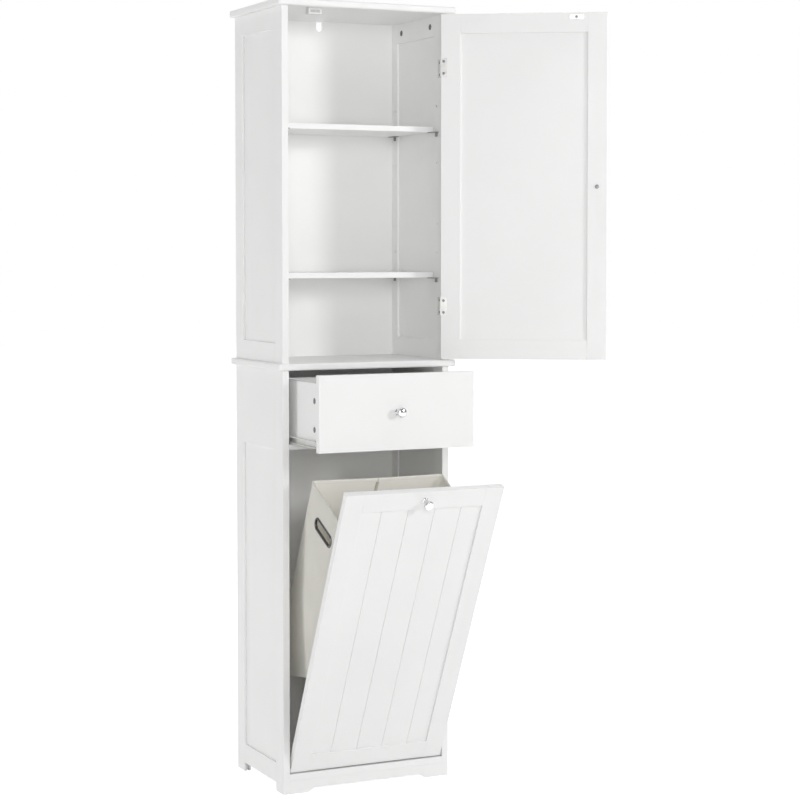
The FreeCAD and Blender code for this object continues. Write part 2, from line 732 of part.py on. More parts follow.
def hinge(end):
    z = hinge_foot(end)
    barrel = "(knuckle_radius + leaf_play)"
    frame_leaf = new_body(end + "_hinge_frame_leaf")
    near = "pivot_inset - leaf"
    leaf_block(frame_leaf, near, "pivot_inset", barrel, "pivot_forward + frame_leaf_reach",
               "0", "hinge_length")
    for start in ("0", "hinge_length - knuckle_length"):
        leaf_block(frame_leaf, near, "pivot_inset", "0", barrel, start, "knuckle_length")
        knuckle(frame_leaf, start, "knuckle_length")
    bore_knuckles(frame_leaf)
    holes = [("pivot_forward + " + LEAF_SCREW_Y, "hinge_length / 2 %s screw_pitch / 2" % sign)
             for sign in "-+"]
    drill(frame_leaf, "YZ_Plane", "pivot_inset", holes, HEAD_HOLE, "leaf")
    keep(place(frame_leaf, INNER + " - pivot_inset", "-pivot_forward", z))

    door_leaf = new_body(end + "_hinge_door_leaf")
    far = DOOR_EDGE + " + leaf"
    face = "pivot_forward + board"
    leaf_block(door_leaf, DOOR_EDGE, far, barrel, face + " + leaf", "0", "hinge_length")
    middle = "knuckle_length + knuckle_gap"
    middle_length = "hinge_length - 2 * (%s)" % middle
    leaf_block(door_leaf, DOOR_EDGE, far, "0", barrel, middle, middle_length)
    knuckle(door_leaf, middle, middle_length)
    inner_end = "%s - door_leaf_reach" % far
    leaf_block(door_leaf, inner_end, DOOR_EDGE, face, face + " + leaf", "0", "hinge_length")
    bore_knuckles(door_leaf)
    screw_x = "%s - frame_width + %s" % (DOOR_EDGE, DOOR_SCREW_X)
    holes = [(screw_x, "hinge_length / 2 %s screw_pitch / 2" % sign) for sign in "-+"]
    drill(door_leaf, "XZ_Plane", "-(%s + leaf)" % face, holes, HEAD_HOLE, "leaf", True)
    keep(place(door_leaf, "0", "0", z, "door_swing"))

    pin = new_body(end + "_hinge_pin")
    pad(pin, circle(new_sketch(pin, "XY_Plane"), "0", "0", "hinge_pin_radius"), "hinge_length")
    keep(place(pin, INNER + " - pivot_inset", "-pivot_forward", z))


def screw(label, frame, x, y, z, turn, plate="leaf"):
    """A flush screw along Z, its head inside the plate above the origin."""
    body = new_body(label)
    pad(body, circle(new_sketch(body, "XY_Plane"), "0", "0", "screw_radius"), "screw_length", True)
    pad(body, circle(new_sketch(body, "XY_Plane"), "0", "0", "screw_head_radius"), plate)
    return place(body, x, y, z, frame, turn)


frame_screws = []
leaf_screws = []
for end in ("upper", "lower"):
    hinge(end)
    for level, z in zip(("low", "high"), screw_heights(end)):
        label = "%s_%s_hinge_screw" % (end, level)
        frame_screws.append(screw(label + "_frame", None, INNER, LEAF_SCREW_Y, z,
                                  "rotation(vector(0; 1; 0); -90)"))
        screw_x = "%s - frame_width + %s" % (DOOR_EDGE, DOOR_SCREW_X)
        leaf_screws.append(screw(label + "_door", "door_swing", screw_x, "pivot_forward + board", z,
                                 "rotation(vector(1; 0; 0); -90)"))
group("frame_hinge_screws", frame_screws)
group("door_hinge_screws", leaf_screws)

# Magnetic catch under the top board, and its strike plate on the door
CATCH_X = "(side_gap + catch_from_edge - %s)" % INNER
CATCH_Y = "(board + strike + catch_gap)"
catch = slab("magnetic_catch", "catch_width", "catch_depth", "catch_height")
magnet_gap = "(magnet_width / 2 + magnet_play)"
MAGNET_LOW = "(catch_height - magnet_height) / 2"
mouth = [("catch_width / 2 - " + magnet_gap, MAGNET_LOW + " - magnet_play"),
         ("catch_width / 2 + " + magnet_gap, MAGNET_LOW + " - magnet_play"),
         ("catch_width / 2 + " + magnet_gap, MAGNET_LOW + " + magnet_height + magnet_play"),
         ("catch_width / 2 - " + magnet_gap, MAGNET_LOW + " + magnet_height + magnet_play")]
pocket(catch, outline(new_sketch(catch, "XZ_Plane"), mouth), "magnet_depth + magnet_play")
CATCH_Z = TOP_UNDERSIDE + " - catch_height"
keep(place(catch, CATCH_X + " - catch_width / 2", CATCH_Y, CATCH_Z))
magnet = slab("catch_magnet", "magnet_width", "magnet_depth", "magnet_height")
keep(place(magnet, CATCH_X + " - magnet_width / 2", CATCH_Y, "%s + %s" % (CATCH_Z, MAGNET_LOW)))
STRIKE_X = "%s + catch_from_edge" % DOOR_LEFT
STRIKE_Z = "%s + %s - strike_drop - strike_height" % (DOOR_FOOT, DOOR_HEIGHT)
DOOR_BACK = "pivot_forward + board"
strike_outline = rectangle("strike_width", "strike_height")
strike_plate = prism("strike_plate", "XZ_Plane", strike_outline, "strike", soft=False)
doc.recompute()
strike_pad = strike_plate.Tip
soften(strike_plate, strike_pad, "strike_round", long_corners(strike_pad, 1))
drill(strike_plate, "XZ_Plane", "0", [("strike_width / 2", "strike_height / 2")], HEAD_HOLE, "strike")
keep(place(strike_plate, STRIKE_X + " - strike_width / 2", DOOR_BACK, STRIKE_Z, "door_swing"))
strike_hole = [("catch_from_edge - frame_width", "frame_width - strike_drop - strike_height / 2")]
drill(door["top"], "XZ_Plane", "-board", strike_hole, SCREW_HOLE, SCREW_HOLE_DEPTH, True)
keep(screw("strike_screw", "door_swing", STRIKE_X, DOOR_BACK, STRIKE_Z + " + strike_height / 2",
           "rotation(vector(1; 0; 0); -90)", "strike"))

# Drawer: front, two sides, back and floor, in runners on the sides of the cabinet
frame_object("drawer_slide", "0", "-drawer_out", "0", "rotation(vector(0; 0; 1); 0)")
FRONT_WIDTH = "(2 * (%s - front_gap))" % INNER
SIDE_X = "(%s - runner_space)" % INNER
SIDE_Z = "(drawer_bottom + drawer_side_lift)"
drawer_front = slab("drawer_front", FRONT_WIDTH, "board", "drawer_front_height")
drill(drawer_front, "XZ_Plane", "0", [(FRONT_WIDTH + " / 2", "drawer_front_height / 2")],
      STUD_HOLE, "board")
keep(place(drawer_front, "-%s / 2" % FRONT_WIDTH, "0", "drawer_bottom", "drawer_slide"))
FLOOR_SLOT_TOP = "drawer_floor_lift + drawer_floor + groove_play"
SLOT_END = "drawer_side - drawer_floor_groove"
side_section = [("0", "0"), ("drawer_side", "0"), ("drawer_side", "drawer_floor_lift - groove_play"),
                (SLOT_END, "drawer_floor_lift - groove_play"), (SLOT_END, FLOOR_SLOT_TOP),
                ("drawer_side", FLOOR_SLOT_TOP), ("drawer_side", "drawer_side_height"),
                ("0", "drawer_side_height")]
drawer_cams = []
for hand in ("left", "right"):
    right = hand == "right"
    body = prism("drawer_%s_side" % hand, "XZ_Plane", side_section, "drawer_length", right)
    holes = [("drawer_cam_inset", "drawer_cam_low"), ("drawer_cam_inset", "drawer_cam_high")]
    drill(body, "YZ_Plane", "0", holes, "cam_radius + cam_play", "cam_depth", not right)
    keep(place(body, SIDE_X if right else "-" + SIDE_X, "board", SIDE_Z, "drawer_slide"))
    for level in ("low", "high"):
        x = "%s - cam_depth" % SIDE_X if right else "-" + SIDE_X
        thing = cam("drawer_cam_%s_%s" % (hand, level), not right)
        drawer_cams.append(place(thing, x, "board + drawer_cam_inset", SIDE_Z + " + drawer_cam_" + level,
                                 "drawer_slide"))
group("drawer_cam_locks", drawer_cams)
BOX_INSIDE = "(2 * (%s - drawer_side))" % SIDE_X
BACK_LIFT = "(drawer_floor_lift + drawer_floor + groove_play)"
drawer_back = slab("drawer_back", BOX_INSIDE, "drawer_side", "drawer_side_height - " + BACK_LIFT)
keep(place(drawer_back, "-%s / 2" % BOX_INSIDE, "board + drawer_length - drawer_side",
           "%s + %s" % (SIDE_Z, BACK_LIFT), "drawer_slide"))
FLOOR_WIDTH = "(%s + 2 * (drawer_floor_groove - groove_spare))" % BOX_INSIDE
drawer_floor = slab("drawer_bottom_panel", FLOOR_WIDTH, "drawer_length", "drawer_floor", False)
keep(place(drawer_floor, "-%s / 2" % FLOOR_WIDTH, "board", SIDE_Z + " + drawer_floor_lift", "drawer_slide"))
knob("drawer", "drawer_slide", "0", "0", "drawer_bottom + drawer_front_height / 2")


# Runners: a channel on each side of the cabinet, and one on the drawer nested inside it
def channel(label, reach, height, right):
    section = [("0", "0"), (reach, "0"), (reach, "runner_wall"), ("runner_wall", "runner_wall"),
               ("runner_wall", "%s - runner_wall" % height), (reach, "%s - runner_wall" % height),
               (reach, height), ("0", height)]
    return prism(label, "XZ_Plane", section, "drawer_length + board - runner_start", right, False)


NESTED_HEIGHT = "(runner_height - 2 * runner_wall - 2 * runner_play)"
NESTED_REACH = "(runner_space - runner_wall - runner_play)"
for hand in ("left", "right"):
    right = hand == "right"
    fixed = channel(hand + "_cabinet_runner", "runner_reach", "runner_height", right)
    keep(place(fixed, INNER if right else "-" + INNER, "runner_start", SIDE_Z))
    sliding = channel(hand + "_drawer_runner", NESTED_REACH, NESTED_HEIGHT, not right)
    keep(place(sliding, SIDE_X if right else "-" + SIDE_X, "runner_start",
               SIDE_Z + " + runner_wall + runner_play", "drawer_slide"))

# Hamper door that tilts out on two pins near its lower edge
PIN_Z = "(hamper_bottom + tilt_pin_lift)"
frame_object("hamper_tilt", "0", "board / 2", PIN_Z, "rotation(vector(1; 0; 0); tilt_angle)")
HAMPER_Y = "(-board / 2)"
HAMPER_Z = "(-tilt_pin_lift)"
hamper = framed_door("hamper", "hamper_tilt", "-%s / 2" % FRONT_WIDTH, HAMPER_Y, HAMPER_Z, FRONT_WIDTH,
                     "hamper_height", ("_left_stile", "_right_stile"))
PIN_HOLE = "tilt_pin_radius + tilt_pin_play"
drill(hamper["left"], "YZ_Plane", "0", [("board / 2", "tilt_pin_lift")], PIN_HOLE, "tilt_pin_bite", True)
drill(hamper["right"], "YZ_Plane", "frame_width", [("board / 2", "tilt_pin_lift")], PIN_HOLE, "tilt_pin_bite")
rail_middle = "(%s) / 2 - frame_width" % FRONT_WIDTH
drill(hamper["top"], "XZ_Plane", "0", [(rail_middle, "frame_width / 2")], STUD_HOLE, "board")
knob("hamper", "hamper_tilt", "0", HAMPER_Y, "%s + hamper_height - frame_width / 2" % HAMPER_Z)


def bead_grooves(body, width):
    """Vertical V-grooves that make the panel look like planks."""
    middle = "%s / 2 - (bead_count - 1) / 2 * bead_pitch" % width
    valley = [(middle + " - bead_width / 2", "0"), (middle + " + bead_width / 2", "0"),
              (middle, "bead_depth")]
    sketch = outline(new_sketch(body, "XY_Plane"), valley)
    first = pocket(body, sketch, "hamper_height", True)
    pattern = body.newObject("PartDesign::LinearPattern", "hamper_grooves")
    pattern.Originals = [first]
    pattern.Direction = (sketch, ["H_Axis"])
    pattern.setExpression("Length", bound("(bead_count - 1) * bead_pitch"))
    pattern.setExpression("Occurrences", bound("bead_count"))
    body.Tip = pattern


bead_grooves(hamper["panel"], panel_width(FRONT_WIDTH))

tilt_pins = []
for hand in ("left", "right"):
    body = new_body("tilt_pin_" + hand)
    pin_length = "2 * (tilt_pin_bite - groove_spare) + front_gap"
    pad(body, circle(new_sketch(body, "YZ_Plane"), "0", "0", "tilt_pin_radius"), pin_length)
    start = "-%s - tilt_pin_bite + groove_spare" % INNER
    if hand == "right":
        start = "%s / 2 - tilt_pin_bite + groove_spare" % FRONT_WIDTH
    tilt_pins.append(place(body, start, "0", "0", "hamper_tilt"))
group("tilt_pins", tilt_pins)

# Laundry bag behind the hamper door: an open-topped box of stiffened cloth
BAG_FRONT = "(board / 2 + bag_gap)"


def bag_point(depth, height, wall):
    """A corner of the bag's profile in the hamper's frame."""
    return ("%s + %s" % (BAG_FRONT, depth), "%s - %s" % (height, PIN_Z) + wall)


bag = new_body("laundry_bag")
bag_outer = [bag_point("0", "bag_front_bottom", ""),
             bag_point("bag_depth + bag_bulge", "bag_rear_bottom", ""),
             bag_point("bag_depth", "bag_rim", ""), bag_point("0", "bag_rim", "")]
pad(bag, outline(new_sketch(bag, "YZ_Plane"), bag_outer), "bag_width")
bag_inner = [bag_point("bag_wall", "bag_front_bottom", " + bag_floor"),
             bag_point("bag_depth + bag_bulge - bag_wall", "bag_rear_bottom", " + bag_floor"),
             bag_point("bag_depth - bag_wall", "bag_rim", ""), bag_point("bag_wall", "bag_rim", "")]
hollow = new_sketch(bag, "YZ_Plane", "bag_width - bag_wall")
pocket(bag, outline(hollow, bag_inner), "bag_width - 2 * bag_wall")

GROMMET_Y = "(%s + grommet_depth)" % BAG_FRONT
GROMMET_Z = "(bag_rim - grommet_drop - %s)" % PIN_Z
OPENING_LENGTH = "(grommet_length - 2 * grommet_band)"
OPENING_WIDTH = "(grommet_width - 2 * grommet_band)"
handle_hole = new_sketch(bag, "YZ_Plane", "bag_width", ("%s - %s / 2" % (GROMMET_Y, OPENING_LENGTH),
                                                        "%s - %s / 2" % (GROMMET_Z, OPENING_WIDTH)))
pocket(bag, outline(handle_hole, rectangle(OPENING_LENGTH, OPENING_WIDTH)), "bag_width")
keep(place(bag, "-bag_width / 2", "0", "0", "hamper_tilt"))


def grommet_ring(label, x):
    """An oval metal ring round the hand hole in the side of the bag."""
    body = new_body(label)
    oval = rectangle("grommet_length", "grommet_width")
    plate = pad(body, outline(new_sketch(body, "YZ_Plane"), oval), "grommet")
    doc.recompute()
    soften(body, plate, "grommet_width * " + OVAL_END, long_corners(plate, 0))
    inner = new_sketch(body, "YZ_Plane", "0", ("grommet_band", "grommet_band"))
    hole = pocket(body, outline(inner, rectangle(OPENING_LENGTH, OPENING_WIDTH)), "grommet", True)
    soften(body, hole, "%s * %s" % (OPENING_WIDTH, OVAL_END), inner_corners(hole, 0, sheet.grommet))
    return place(body, x, "%s - grommet_length / 2" % GROMMET_Y, "%s - grommet_width / 2" % GROMMET_Z,
                 "hamper_tilt")


group("bag_grommets", [
    grommet_ring("left_grommet", "-bag_width / 2 - grommet_play - grommet"),
    grommet_ring("right_grommet", "bag_width / 2 + grommet_play"),
])

# Nothing is written unless every feature has worked and every piece is a sound solid
doc.recompute()
failed = [thing.Label for thing in doc.Objects if {"Invalid", "Error"} & set(thing.State)]
failed += [piece.Label for piece in pieces if piece.Shape.isNull() or not piece.Shape.isValid()]
if failed:
    raise RuntimeError("failed: " + ", ".join(failed))
os.makedirs("parts", exist_ok=True)
for piece in pieces:
    piece.Shape.exportStep(os.path.join("parts", piece.Label + ".step"))
print("%d pieces, %d solids" % (len(pieces), sum(len(piece.Shape.Solids) for piece in pieces)))
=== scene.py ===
import json
import math
import bmesh
import bpy
from mathutils import Matrix, Vector, noise

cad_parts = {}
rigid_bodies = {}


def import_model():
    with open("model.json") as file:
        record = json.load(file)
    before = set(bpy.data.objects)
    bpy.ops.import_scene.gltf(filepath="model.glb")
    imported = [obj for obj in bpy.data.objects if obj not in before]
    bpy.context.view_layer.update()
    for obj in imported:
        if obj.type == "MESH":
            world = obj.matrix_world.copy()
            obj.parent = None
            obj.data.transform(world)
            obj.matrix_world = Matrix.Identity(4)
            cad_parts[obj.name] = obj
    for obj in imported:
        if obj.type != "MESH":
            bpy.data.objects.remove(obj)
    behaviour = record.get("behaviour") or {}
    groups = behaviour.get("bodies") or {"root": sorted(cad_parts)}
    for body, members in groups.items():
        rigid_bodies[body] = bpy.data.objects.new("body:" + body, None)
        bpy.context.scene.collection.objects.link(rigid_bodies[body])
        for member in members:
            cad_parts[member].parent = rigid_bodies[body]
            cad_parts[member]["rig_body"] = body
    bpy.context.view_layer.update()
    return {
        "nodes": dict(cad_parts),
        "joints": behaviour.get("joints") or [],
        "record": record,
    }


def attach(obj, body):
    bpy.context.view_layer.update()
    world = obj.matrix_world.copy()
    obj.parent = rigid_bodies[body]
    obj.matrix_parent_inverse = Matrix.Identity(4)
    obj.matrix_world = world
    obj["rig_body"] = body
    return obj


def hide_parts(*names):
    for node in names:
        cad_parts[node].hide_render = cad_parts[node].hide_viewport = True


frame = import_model()
print("frame loaded:", len(frame["nodes"]), "nodes")

# The cabinet is shown open, so new pieces are shaped on the closed cabinet and then opened with their body
jointOf = {joint["child"]: joint for joint in frame["joints"]}
sameSpot = 1e-6    # metres, within which two points are one
levelSlack = 1e-4  # metres, within which two points are level


def opening(body):
    joint = jointOf.get(body)
    if joint is None:
        return Matrix.Identity(4)
    axis = Vector(joint["axis"])
    if joint["type"] == "slide":
        return Matrix.Translation(axis * -joint["range_m"][0])
    pivot = Vector(joint["pos_m"])
    turn = Matrix.Rotation(math.radians(-joint["range_deg"][0]), 4, axis)
    return Matrix.Translation(pivot) @ turn @ Matrix.Translation(-pivot)


def bodyOf(node):
    return frame["nodes"][node]["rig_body"]


def closedPoints(node):
    shut = opening(bodyOf(node)).inverted()
    return [shut @ vert.co for vert in frame["nodes"][node].data.vertices]


def closedBox(node):
    points = closedPoints(node)
    low = Vector(min(point[axis] for point in points) for axis in range(3))
    high = Vector(max(point[axis] for point in points) for axis in range(3))
    return low, high


def finishPiece(bm, name, body, finish, slotName, stands=(), smoothAngle=40):
    mesh = bpy.data.meshes.new(name)
    bmesh.ops.transform(bm, matrix=opening(body), verts=bm.verts)
    bm.to_mesh(mesh)
    bm.free()
    for face in mesh.polygons:
        face.use_smooth = True
    mesh.set_sharp_from_angle(angle=math.radians(smoothAngle))
    mesh.materials.append(finish)
    piece = bpy.data.objects.new(name, mesh)
    bpy.context.scene.collection.objects.link(piece)
    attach(piece, body)
    if stands:
        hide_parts(*stands)
    return piece


# Shared effects, each one node group
def newGroup(name, inputs, outputs):
    group = bpy.data.node_groups.new(name, "ShaderNodeTree")
    for label, start in inputs.items():
        socket = group.interface.new_socket(name=label, in_out="INPUT", socket_type="NodeSocketFloat")
        socket.default_value = start
    for label in outputs:
        group.interface.new_socket(name=label, in_out="OUTPUT", socket_type="NodeSocketFloat")
    return group, group.nodes.new("NodeGroupInput"), group.nodes.new("NodeGroupOutput")


def addNode(tree, kind, **settings):
    node = tree.nodes.new(kind)
    for key, setting in settings.items():
        setattr(node, key, setting)
    return node


def mathNode(tree, operation, first, second):
    node = addNode(tree, "ShaderNodeMath", operation=operation)
    for socket, given in zip(node.inputs, (first, second)):
        if isinstance(given, (int, float)):
            socket.default_value = given
        else:
            tree.links.new(given, socket)
    return node.outputs[0]


# What stays the same wherever an effect is used
effectLook = {
    "mottleEdges": (0.3, 0.7), "mottleDetail": 3.0,  # the noise between these edges fills the whole range
    "peelDetail": 1.5, "waveDetail": 1.0, "brushDetail": 2.0,
    "slubScale": 260.0, "slubDetail": 2.0,           # thick spots in the thread, per metre of cloth
}


def makeMottle():  # soft blotches of one size, between a low and a high value
    group, given, result = newGroup("mottle", {"Size": 0.05, "Low": 0.0, "High": 1.0}, ["Value"])
    place = addNode(group, "ShaderNodeTexCoord")
    cloud = addNode(group, "ShaderNodeTexNoise")
    cloud.inputs["Detail"].default_value = effectLook["mottleDetail"]
    spread = addNode(group, "ShaderNodeMapRange")
    spread.inputs["From Min"].default_value = effectLook["mottleEdges"][0]
    spread.inputs["From Max"].default_value = effectLook["mottleEdges"][1]
    links = group.links
    links.new(place.outputs["Object"], cloud.inputs["Vector"])
    links.new(mathNode(group, "DIVIDE", 1.0, given.outputs["Size"]), cloud.inputs["Scale"])
    links.new(cloud.outputs["Fac"], spread.inputs["Value"])
    links.new(given.outputs["Low"], spread.inputs["To Min"])
    links.new(given.outputs["High"], spread.inputs["To Max"])
    links.new(spread.outputs["Result"], result.inputs["Value"])
    return group


def makePeel():  # rounded orange-peel texture of sprayed lacquer or moulded plastic
    group, given, result = newGroup("peel", {"Size": 0.001, "Wave": 0.03, "Wave Share": 0.5}, ["Height"])
    place = addNode(group, "ShaderNodeTexCoord")
    grain = addNode(group, "ShaderNodeTexNoise")
    grain.inputs["Detail"].default_value = effectLook["peelDetail"]
    wave = addNode(group, "ShaderNodeTexNoise")
    wave.inputs["Detail"].default_value = effectLook["waveDetail"]
    links = group.links
    for cloud, label in ((grain, "Size"), (wave, "Wave")):
        links.new(place.outputs["Object"], cloud.inputs["Vector"])
        links.new(mathNode(group, "DIVIDE", 1.0, given.outputs[label]), cloud.inputs["Scale"])
    swell = mathNode(group, "MULTIPLY", wave.outputs["Fac"], given.outputs["Wave Share"])
    links.new(mathNode(group, "ADD", grain.outputs["Fac"], swell), result.inputs["Height"])
    return group


def makeBrush():  # long fine scratches along one axis of the piece
    group, given, result = newGroup("brush", {"Pitch": 0.0006, "Stretch": 30.0}, ["Value"])
    place = addNode(group, "ShaderNodeTexCoord")
    stretch = addNode(group, "ShaderNodeMapping")
    pack = addNode(group, "ShaderNodeCombineXYZ")
    lines = addNode(group, "ShaderNodeTexNoise")
    lines.inputs["Detail"].default_value = effectLook["brushDetail"]
    links = group.links
    fine = mathNode(group, "DIVIDE", 1.0, given.outputs["Pitch"])
    links.new(fine, pack.inputs["X"])
    links.new(fine, pack.inputs["Y"])
    links.new(mathNode(group, "DIVIDE", fine, given.outputs["Stretch"]), pack.inputs["Z"])
    links.new(place.outputs["Object"], stretch.inputs["Vector"])
    links.new(pack.outputs["Vector"], stretch.inputs["Scale"])
    lines.inputs["Scale"].default_value = 1.0
    links.new(stretch.outputs["Vector"], lines.inputs["Vector"])
    links.new(lines.outputs["Fac"], result.inputs["Value"])
    return group


def makeWeave():  # plain weave on the piece's own flat map, whose unit is the metre
    group, given, result = newGroup("weave", {"Pitch": 0.0012, "Slub": 0.25}, ["Height", "Thread"])
    flat = addNode(group, "ShaderNodeTexCoord")
    split = addNode(group, "ShaderNodeSeparateXYZ")
    links = group.links
    links.new(flat.outputs["UV"], split.inputs["Vector"])
    turns = mathNode(group, "DIVIDE", math.pi, given.outputs["Pitch"])
    threads = []
    for axis in ("X", "Y"):
        phase = mathNode(group, "MULTIPLY", split.outputs[axis], turns)
        threads.append(mathNode(group, "ABSOLUTE", mathNode(group, "SINE", phase, 0.0), 0.0))
    slub = addNode(group, "ShaderNodeTexNoise")
    slub.inputs["Scale"].default_value = effectLook["slubScale"]
    slub.inputs["Detail"].default_value = effectLook["slubDetail"]
    links.new(flat.outputs["UV"], slub.inputs["Vector"])
    crossed = mathNode(group, "MULTIPLY", threads[0], threads[1])
    uneven = mathNode(group, "MULTIPLY", slub.outputs["Fac"], given.outputs["Slub"])
    links.new(mathNode(group, "ADD", crossed, uneven), result.inputs["Height"])
    links.new(crossed, result.inputs["Thread"])
    return group


mottle = makeMottle()
peel = makePeel()
brush = makeBrush()
weave = makeWeave()
print("shared effects ready")


def newMaterial(name):
    material = bpy.data.materials.new(name)
    material.use_nodes = True
    tree = material.node_tree
    return material, tree, tree.nodes["Principled BSDF"]


def placeGroup(tree, group, **settings):
    node = addNode(tree, "ShaderNodeGroup", node_tree=group)
    for label, setting in settings.items():
        node.inputs[label.replace("_", " ")].default_value = setting
    return node


def colourBlend(tree, shader, factor, low, high):
    blend = addNode(tree, "ShaderNodeMix", data_type="RGBA")
    blend.inputs["A"].default_value = (*low, 1.0)
    blend.inputs["B"].default_value = (*high, 1.0)
    tree.links.new(factor, blend.inputs["Factor"])
    tree.links.new(blend.outputs["Result"], shader.inputs["Base Color"])
    return blend


def bumpFrom(tree, shader, height, depth):
    bump = addNode(tree, "ShaderNodeBump")
    bump.inputs["Strength"].default_value = 1.0
    bump.inputs["Distance"].default_value = depth
    tree.links.new(height, bump.inputs["Height"])
    tree.links.new(bump.outputs["Normal"], shader.inputs["Normal"])


def lacquer(name, look):  # sprayed satin paint, plastic and powder coat
    material, tree, shader = newMaterial(name)
    tone = placeGroup(tree, mottle, Size=look["toneSize"], Low=0.0, High=1.0)
    colourBlend(tree, shader, tone.outputs["Value"], look["dark"], look["light"])
    sheen = placeGroup(tree, mottle, Size=look["sheenSize"], Low=look["gloss"][0], High=look["gloss"][1])
    tree.links.new(sheen.outputs["Value"], shader.inputs["Roughness"])
    skin = placeGroup(tree, peel, Size=look["peelSize"], Wave=look["waveSize"], Wave_Share=look["waveShare"])
    bumpFrom(tree, shader, skin.outputs["Height"], look["peelDepth"])
    return material


def metal(name, look):  # plated and polished metals
    material, tree, shader = newMaterial(name)
    shader.inputs["Metallic"].default_value = 1.0
    stain = placeGroup(tree, mottle, Size=look["stainSize"], Low=0.0, High=1.0)
    colourBlend(tree, shader, stain.outputs["Value"], look["dark"], look["light"])
    lines = placeGroup(tree, brush, Pitch=look["brushPitch"], Stretch=look["brushStretch"])
    smear = placeGroup(tree, mottle, Size=look["smearSize"], Low=look["gloss"][0], High=look["gloss"][1])
    scratch = mathNode(tree, "MULTIPLY", lines.outputs["Value"], look["brushGloss"])
    tree.links.new(mathNode(tree, "ADD", smear.outputs["Value"], scratch), shader.inputs["Roughness"])
    bumpFrom(tree, shader, lines.outputs["Value"], look["brushDepth"])
    return material


whitePaint = {
    "dark": (0.865, 0.865, 0.86), "light": (0.89, 0.89, 0.885), "toneSize": 0.22,
    "gloss": (0.34, 0.44), "sheenSize": 0.035,
    "peelSize": 0.0011, "waveSize": 0.03, "waveShare": 0.8, "peelDepth": 0.00003,
}
runnerPaint = {
    "dark": (0.70, 0.70, 0.68), "light": (0.76, 0.76, 0.745), "toneSize": 0.02,
    "gloss": (0.28, 0.40), "sheenSize": 0.01,
    "peelSize": 0.0007, "waveSize": 0.006, "waveShare": 0.5, "peelDepth": 0.00004,
}
whitePlastic = {
    "dark": (0.76, 0.76, 0.75), "light": (0.80, 0.80, 0.79), "toneSize": 0.03,
    "gloss": (0.36, 0.46), "sheenSize": 0.008,
    "peelSize": 0.0004, "waveSize": 0.01, "waveShare": 0.3, "peelDepth": 0.00002,
}
magnetFace = {
    "dark": (0.46, 0.46, 0.46), "light": (0.58, 0.58, 0.575), "toneSize": 0.003,
    "gloss": (0.5, 0.7), "sheenSize": 0.002,
    "peelSize": 0.0003, "waveSize": 0.002, "waveShare": 0.6, "peelDepth": 0.00003,
}
chromePlate = {
    "dark": (0.66, 0.66, 0.67), "light": (0.75, 0.75, 0.76), "stainSize": 0.012,
    "gloss": (0.06, 0.12), "smearSize": 0.006,
    "brushPitch": 0.0004, "brushStretch": 4.0, "brushGloss": 0.05, "brushDepth": 0.000001,
}
nickelPlate = {
    "dark": (0.60, 0.595, 0.58), "light": (0.70, 0.695, 0.68), "stainSize": 0.015,
    "gloss": (0.24, 0.34), "smearSize": 0.006,
    "brushPitch": 0.0003, "brushStretch": 40.0, "brushGloss": 0.12, "brushDepth": 0.000004,
}
zincPlate = {
    "dark": (0.20, 0.205, 0.21), "light": (0.30, 0.30, 0.305), "stainSize": 0.004,
    "gloss": (0.28, 0.42), "smearSize": 0.003,
    "brushPitch": 0.0004, "brushStretch": 6.0, "brushGloss": 0.08, "brushDepth": 0.000003,
}
darkSteel = {
    "dark": (0.07, 0.07, 0.072), "light": (0.12, 0.12, 0.122), "stainSize": 0.010,
    "gloss": (0.12, 0.20), "smearSize": 0.008,
    "brushPitch": 0.0004, "brushStretch": 10.0, "brushGloss": 0.06, "brushDepth": 0.000002,
}
supportSteel = {
    "dark": (0.24, 0.24, 0.245), "light": (0.36, 0.36, 0.365), "stainSize": 0.006,
    "gloss": (0.22, 0.34), "smearSize": 0.005,
    "brushPitch": 0.0004, "brushStretch": 10.0, "brushGloss": 0.08, "brushDepth": 0.000002,
}
camZinc = {
    "dark": (0.16, 0.16, 0.165), "light": (0.26, 0.26, 0.265), "stainSize": 0.003,
    "gloss": (0.36, 0.5), "smearSize": 0.002,
    "brushPitch": 0.0003, "brushStretch": 2.0, "brushGloss": 0.1, "brushDepth": 0.000004,
}
finishes = {
    "white_paint": lacquer("whitePaint", whitePaint),
    "runner_paint": lacquer("runnerPaint", runnerPaint),
    "white_plastic": lacquer("whitePlastic", whitePlastic),
    "magnet": lacquer("magnetFace", magnetFace),
    "chrome": metal("chromePlate", chromePlate),
    "nickel": metal("nickelPlate", nickelPlate),
    "zinc": metal("zincPlate", zincPlate),
    "dark_steel": metal("darkSteel", darkSteel),
    "cam_zinc": metal("camZinc", camZinc),
}

creamCloth = {
    "valley": (0.68, 0.665, 0.60), "crown": (0.82, 0.805, 0.745),
    "pitch": 0.0011, "slub": 0.35, "depth": 0.00018,
    "gloss": (0.80, 0.92), "fuzz": 0.25, "fuzzRoughness": 0.6,
    "blotch": 0.15, "blotchSize": 0.06, "napSize": 0.004,
    "paintedInsideLight": (0.93, 0.915, 0.865), "paintedInsideShare": 1.0,  # painted light: the faces that look into the bag are drawn in this paler colour, standing in for the light inside it
}
threadLook = {
    "valley": (0.74, 0.73, 0.68), "crown": (0.90, 0.89, 0.85),
    "pitch": 0.0004, "slub": 0.2, "depth": 0.00005,
    "gloss": (0.6, 0.75), "fuzz": 0.2, "fuzzRoughness": 0.5,
    "blotch": 0.15, "blotchSize": 0.06, "napSize": 0.004,
    "paintedInsideLight": (0.90, 0.89, 0.85), "paintedInsideShare": 0.0,
}


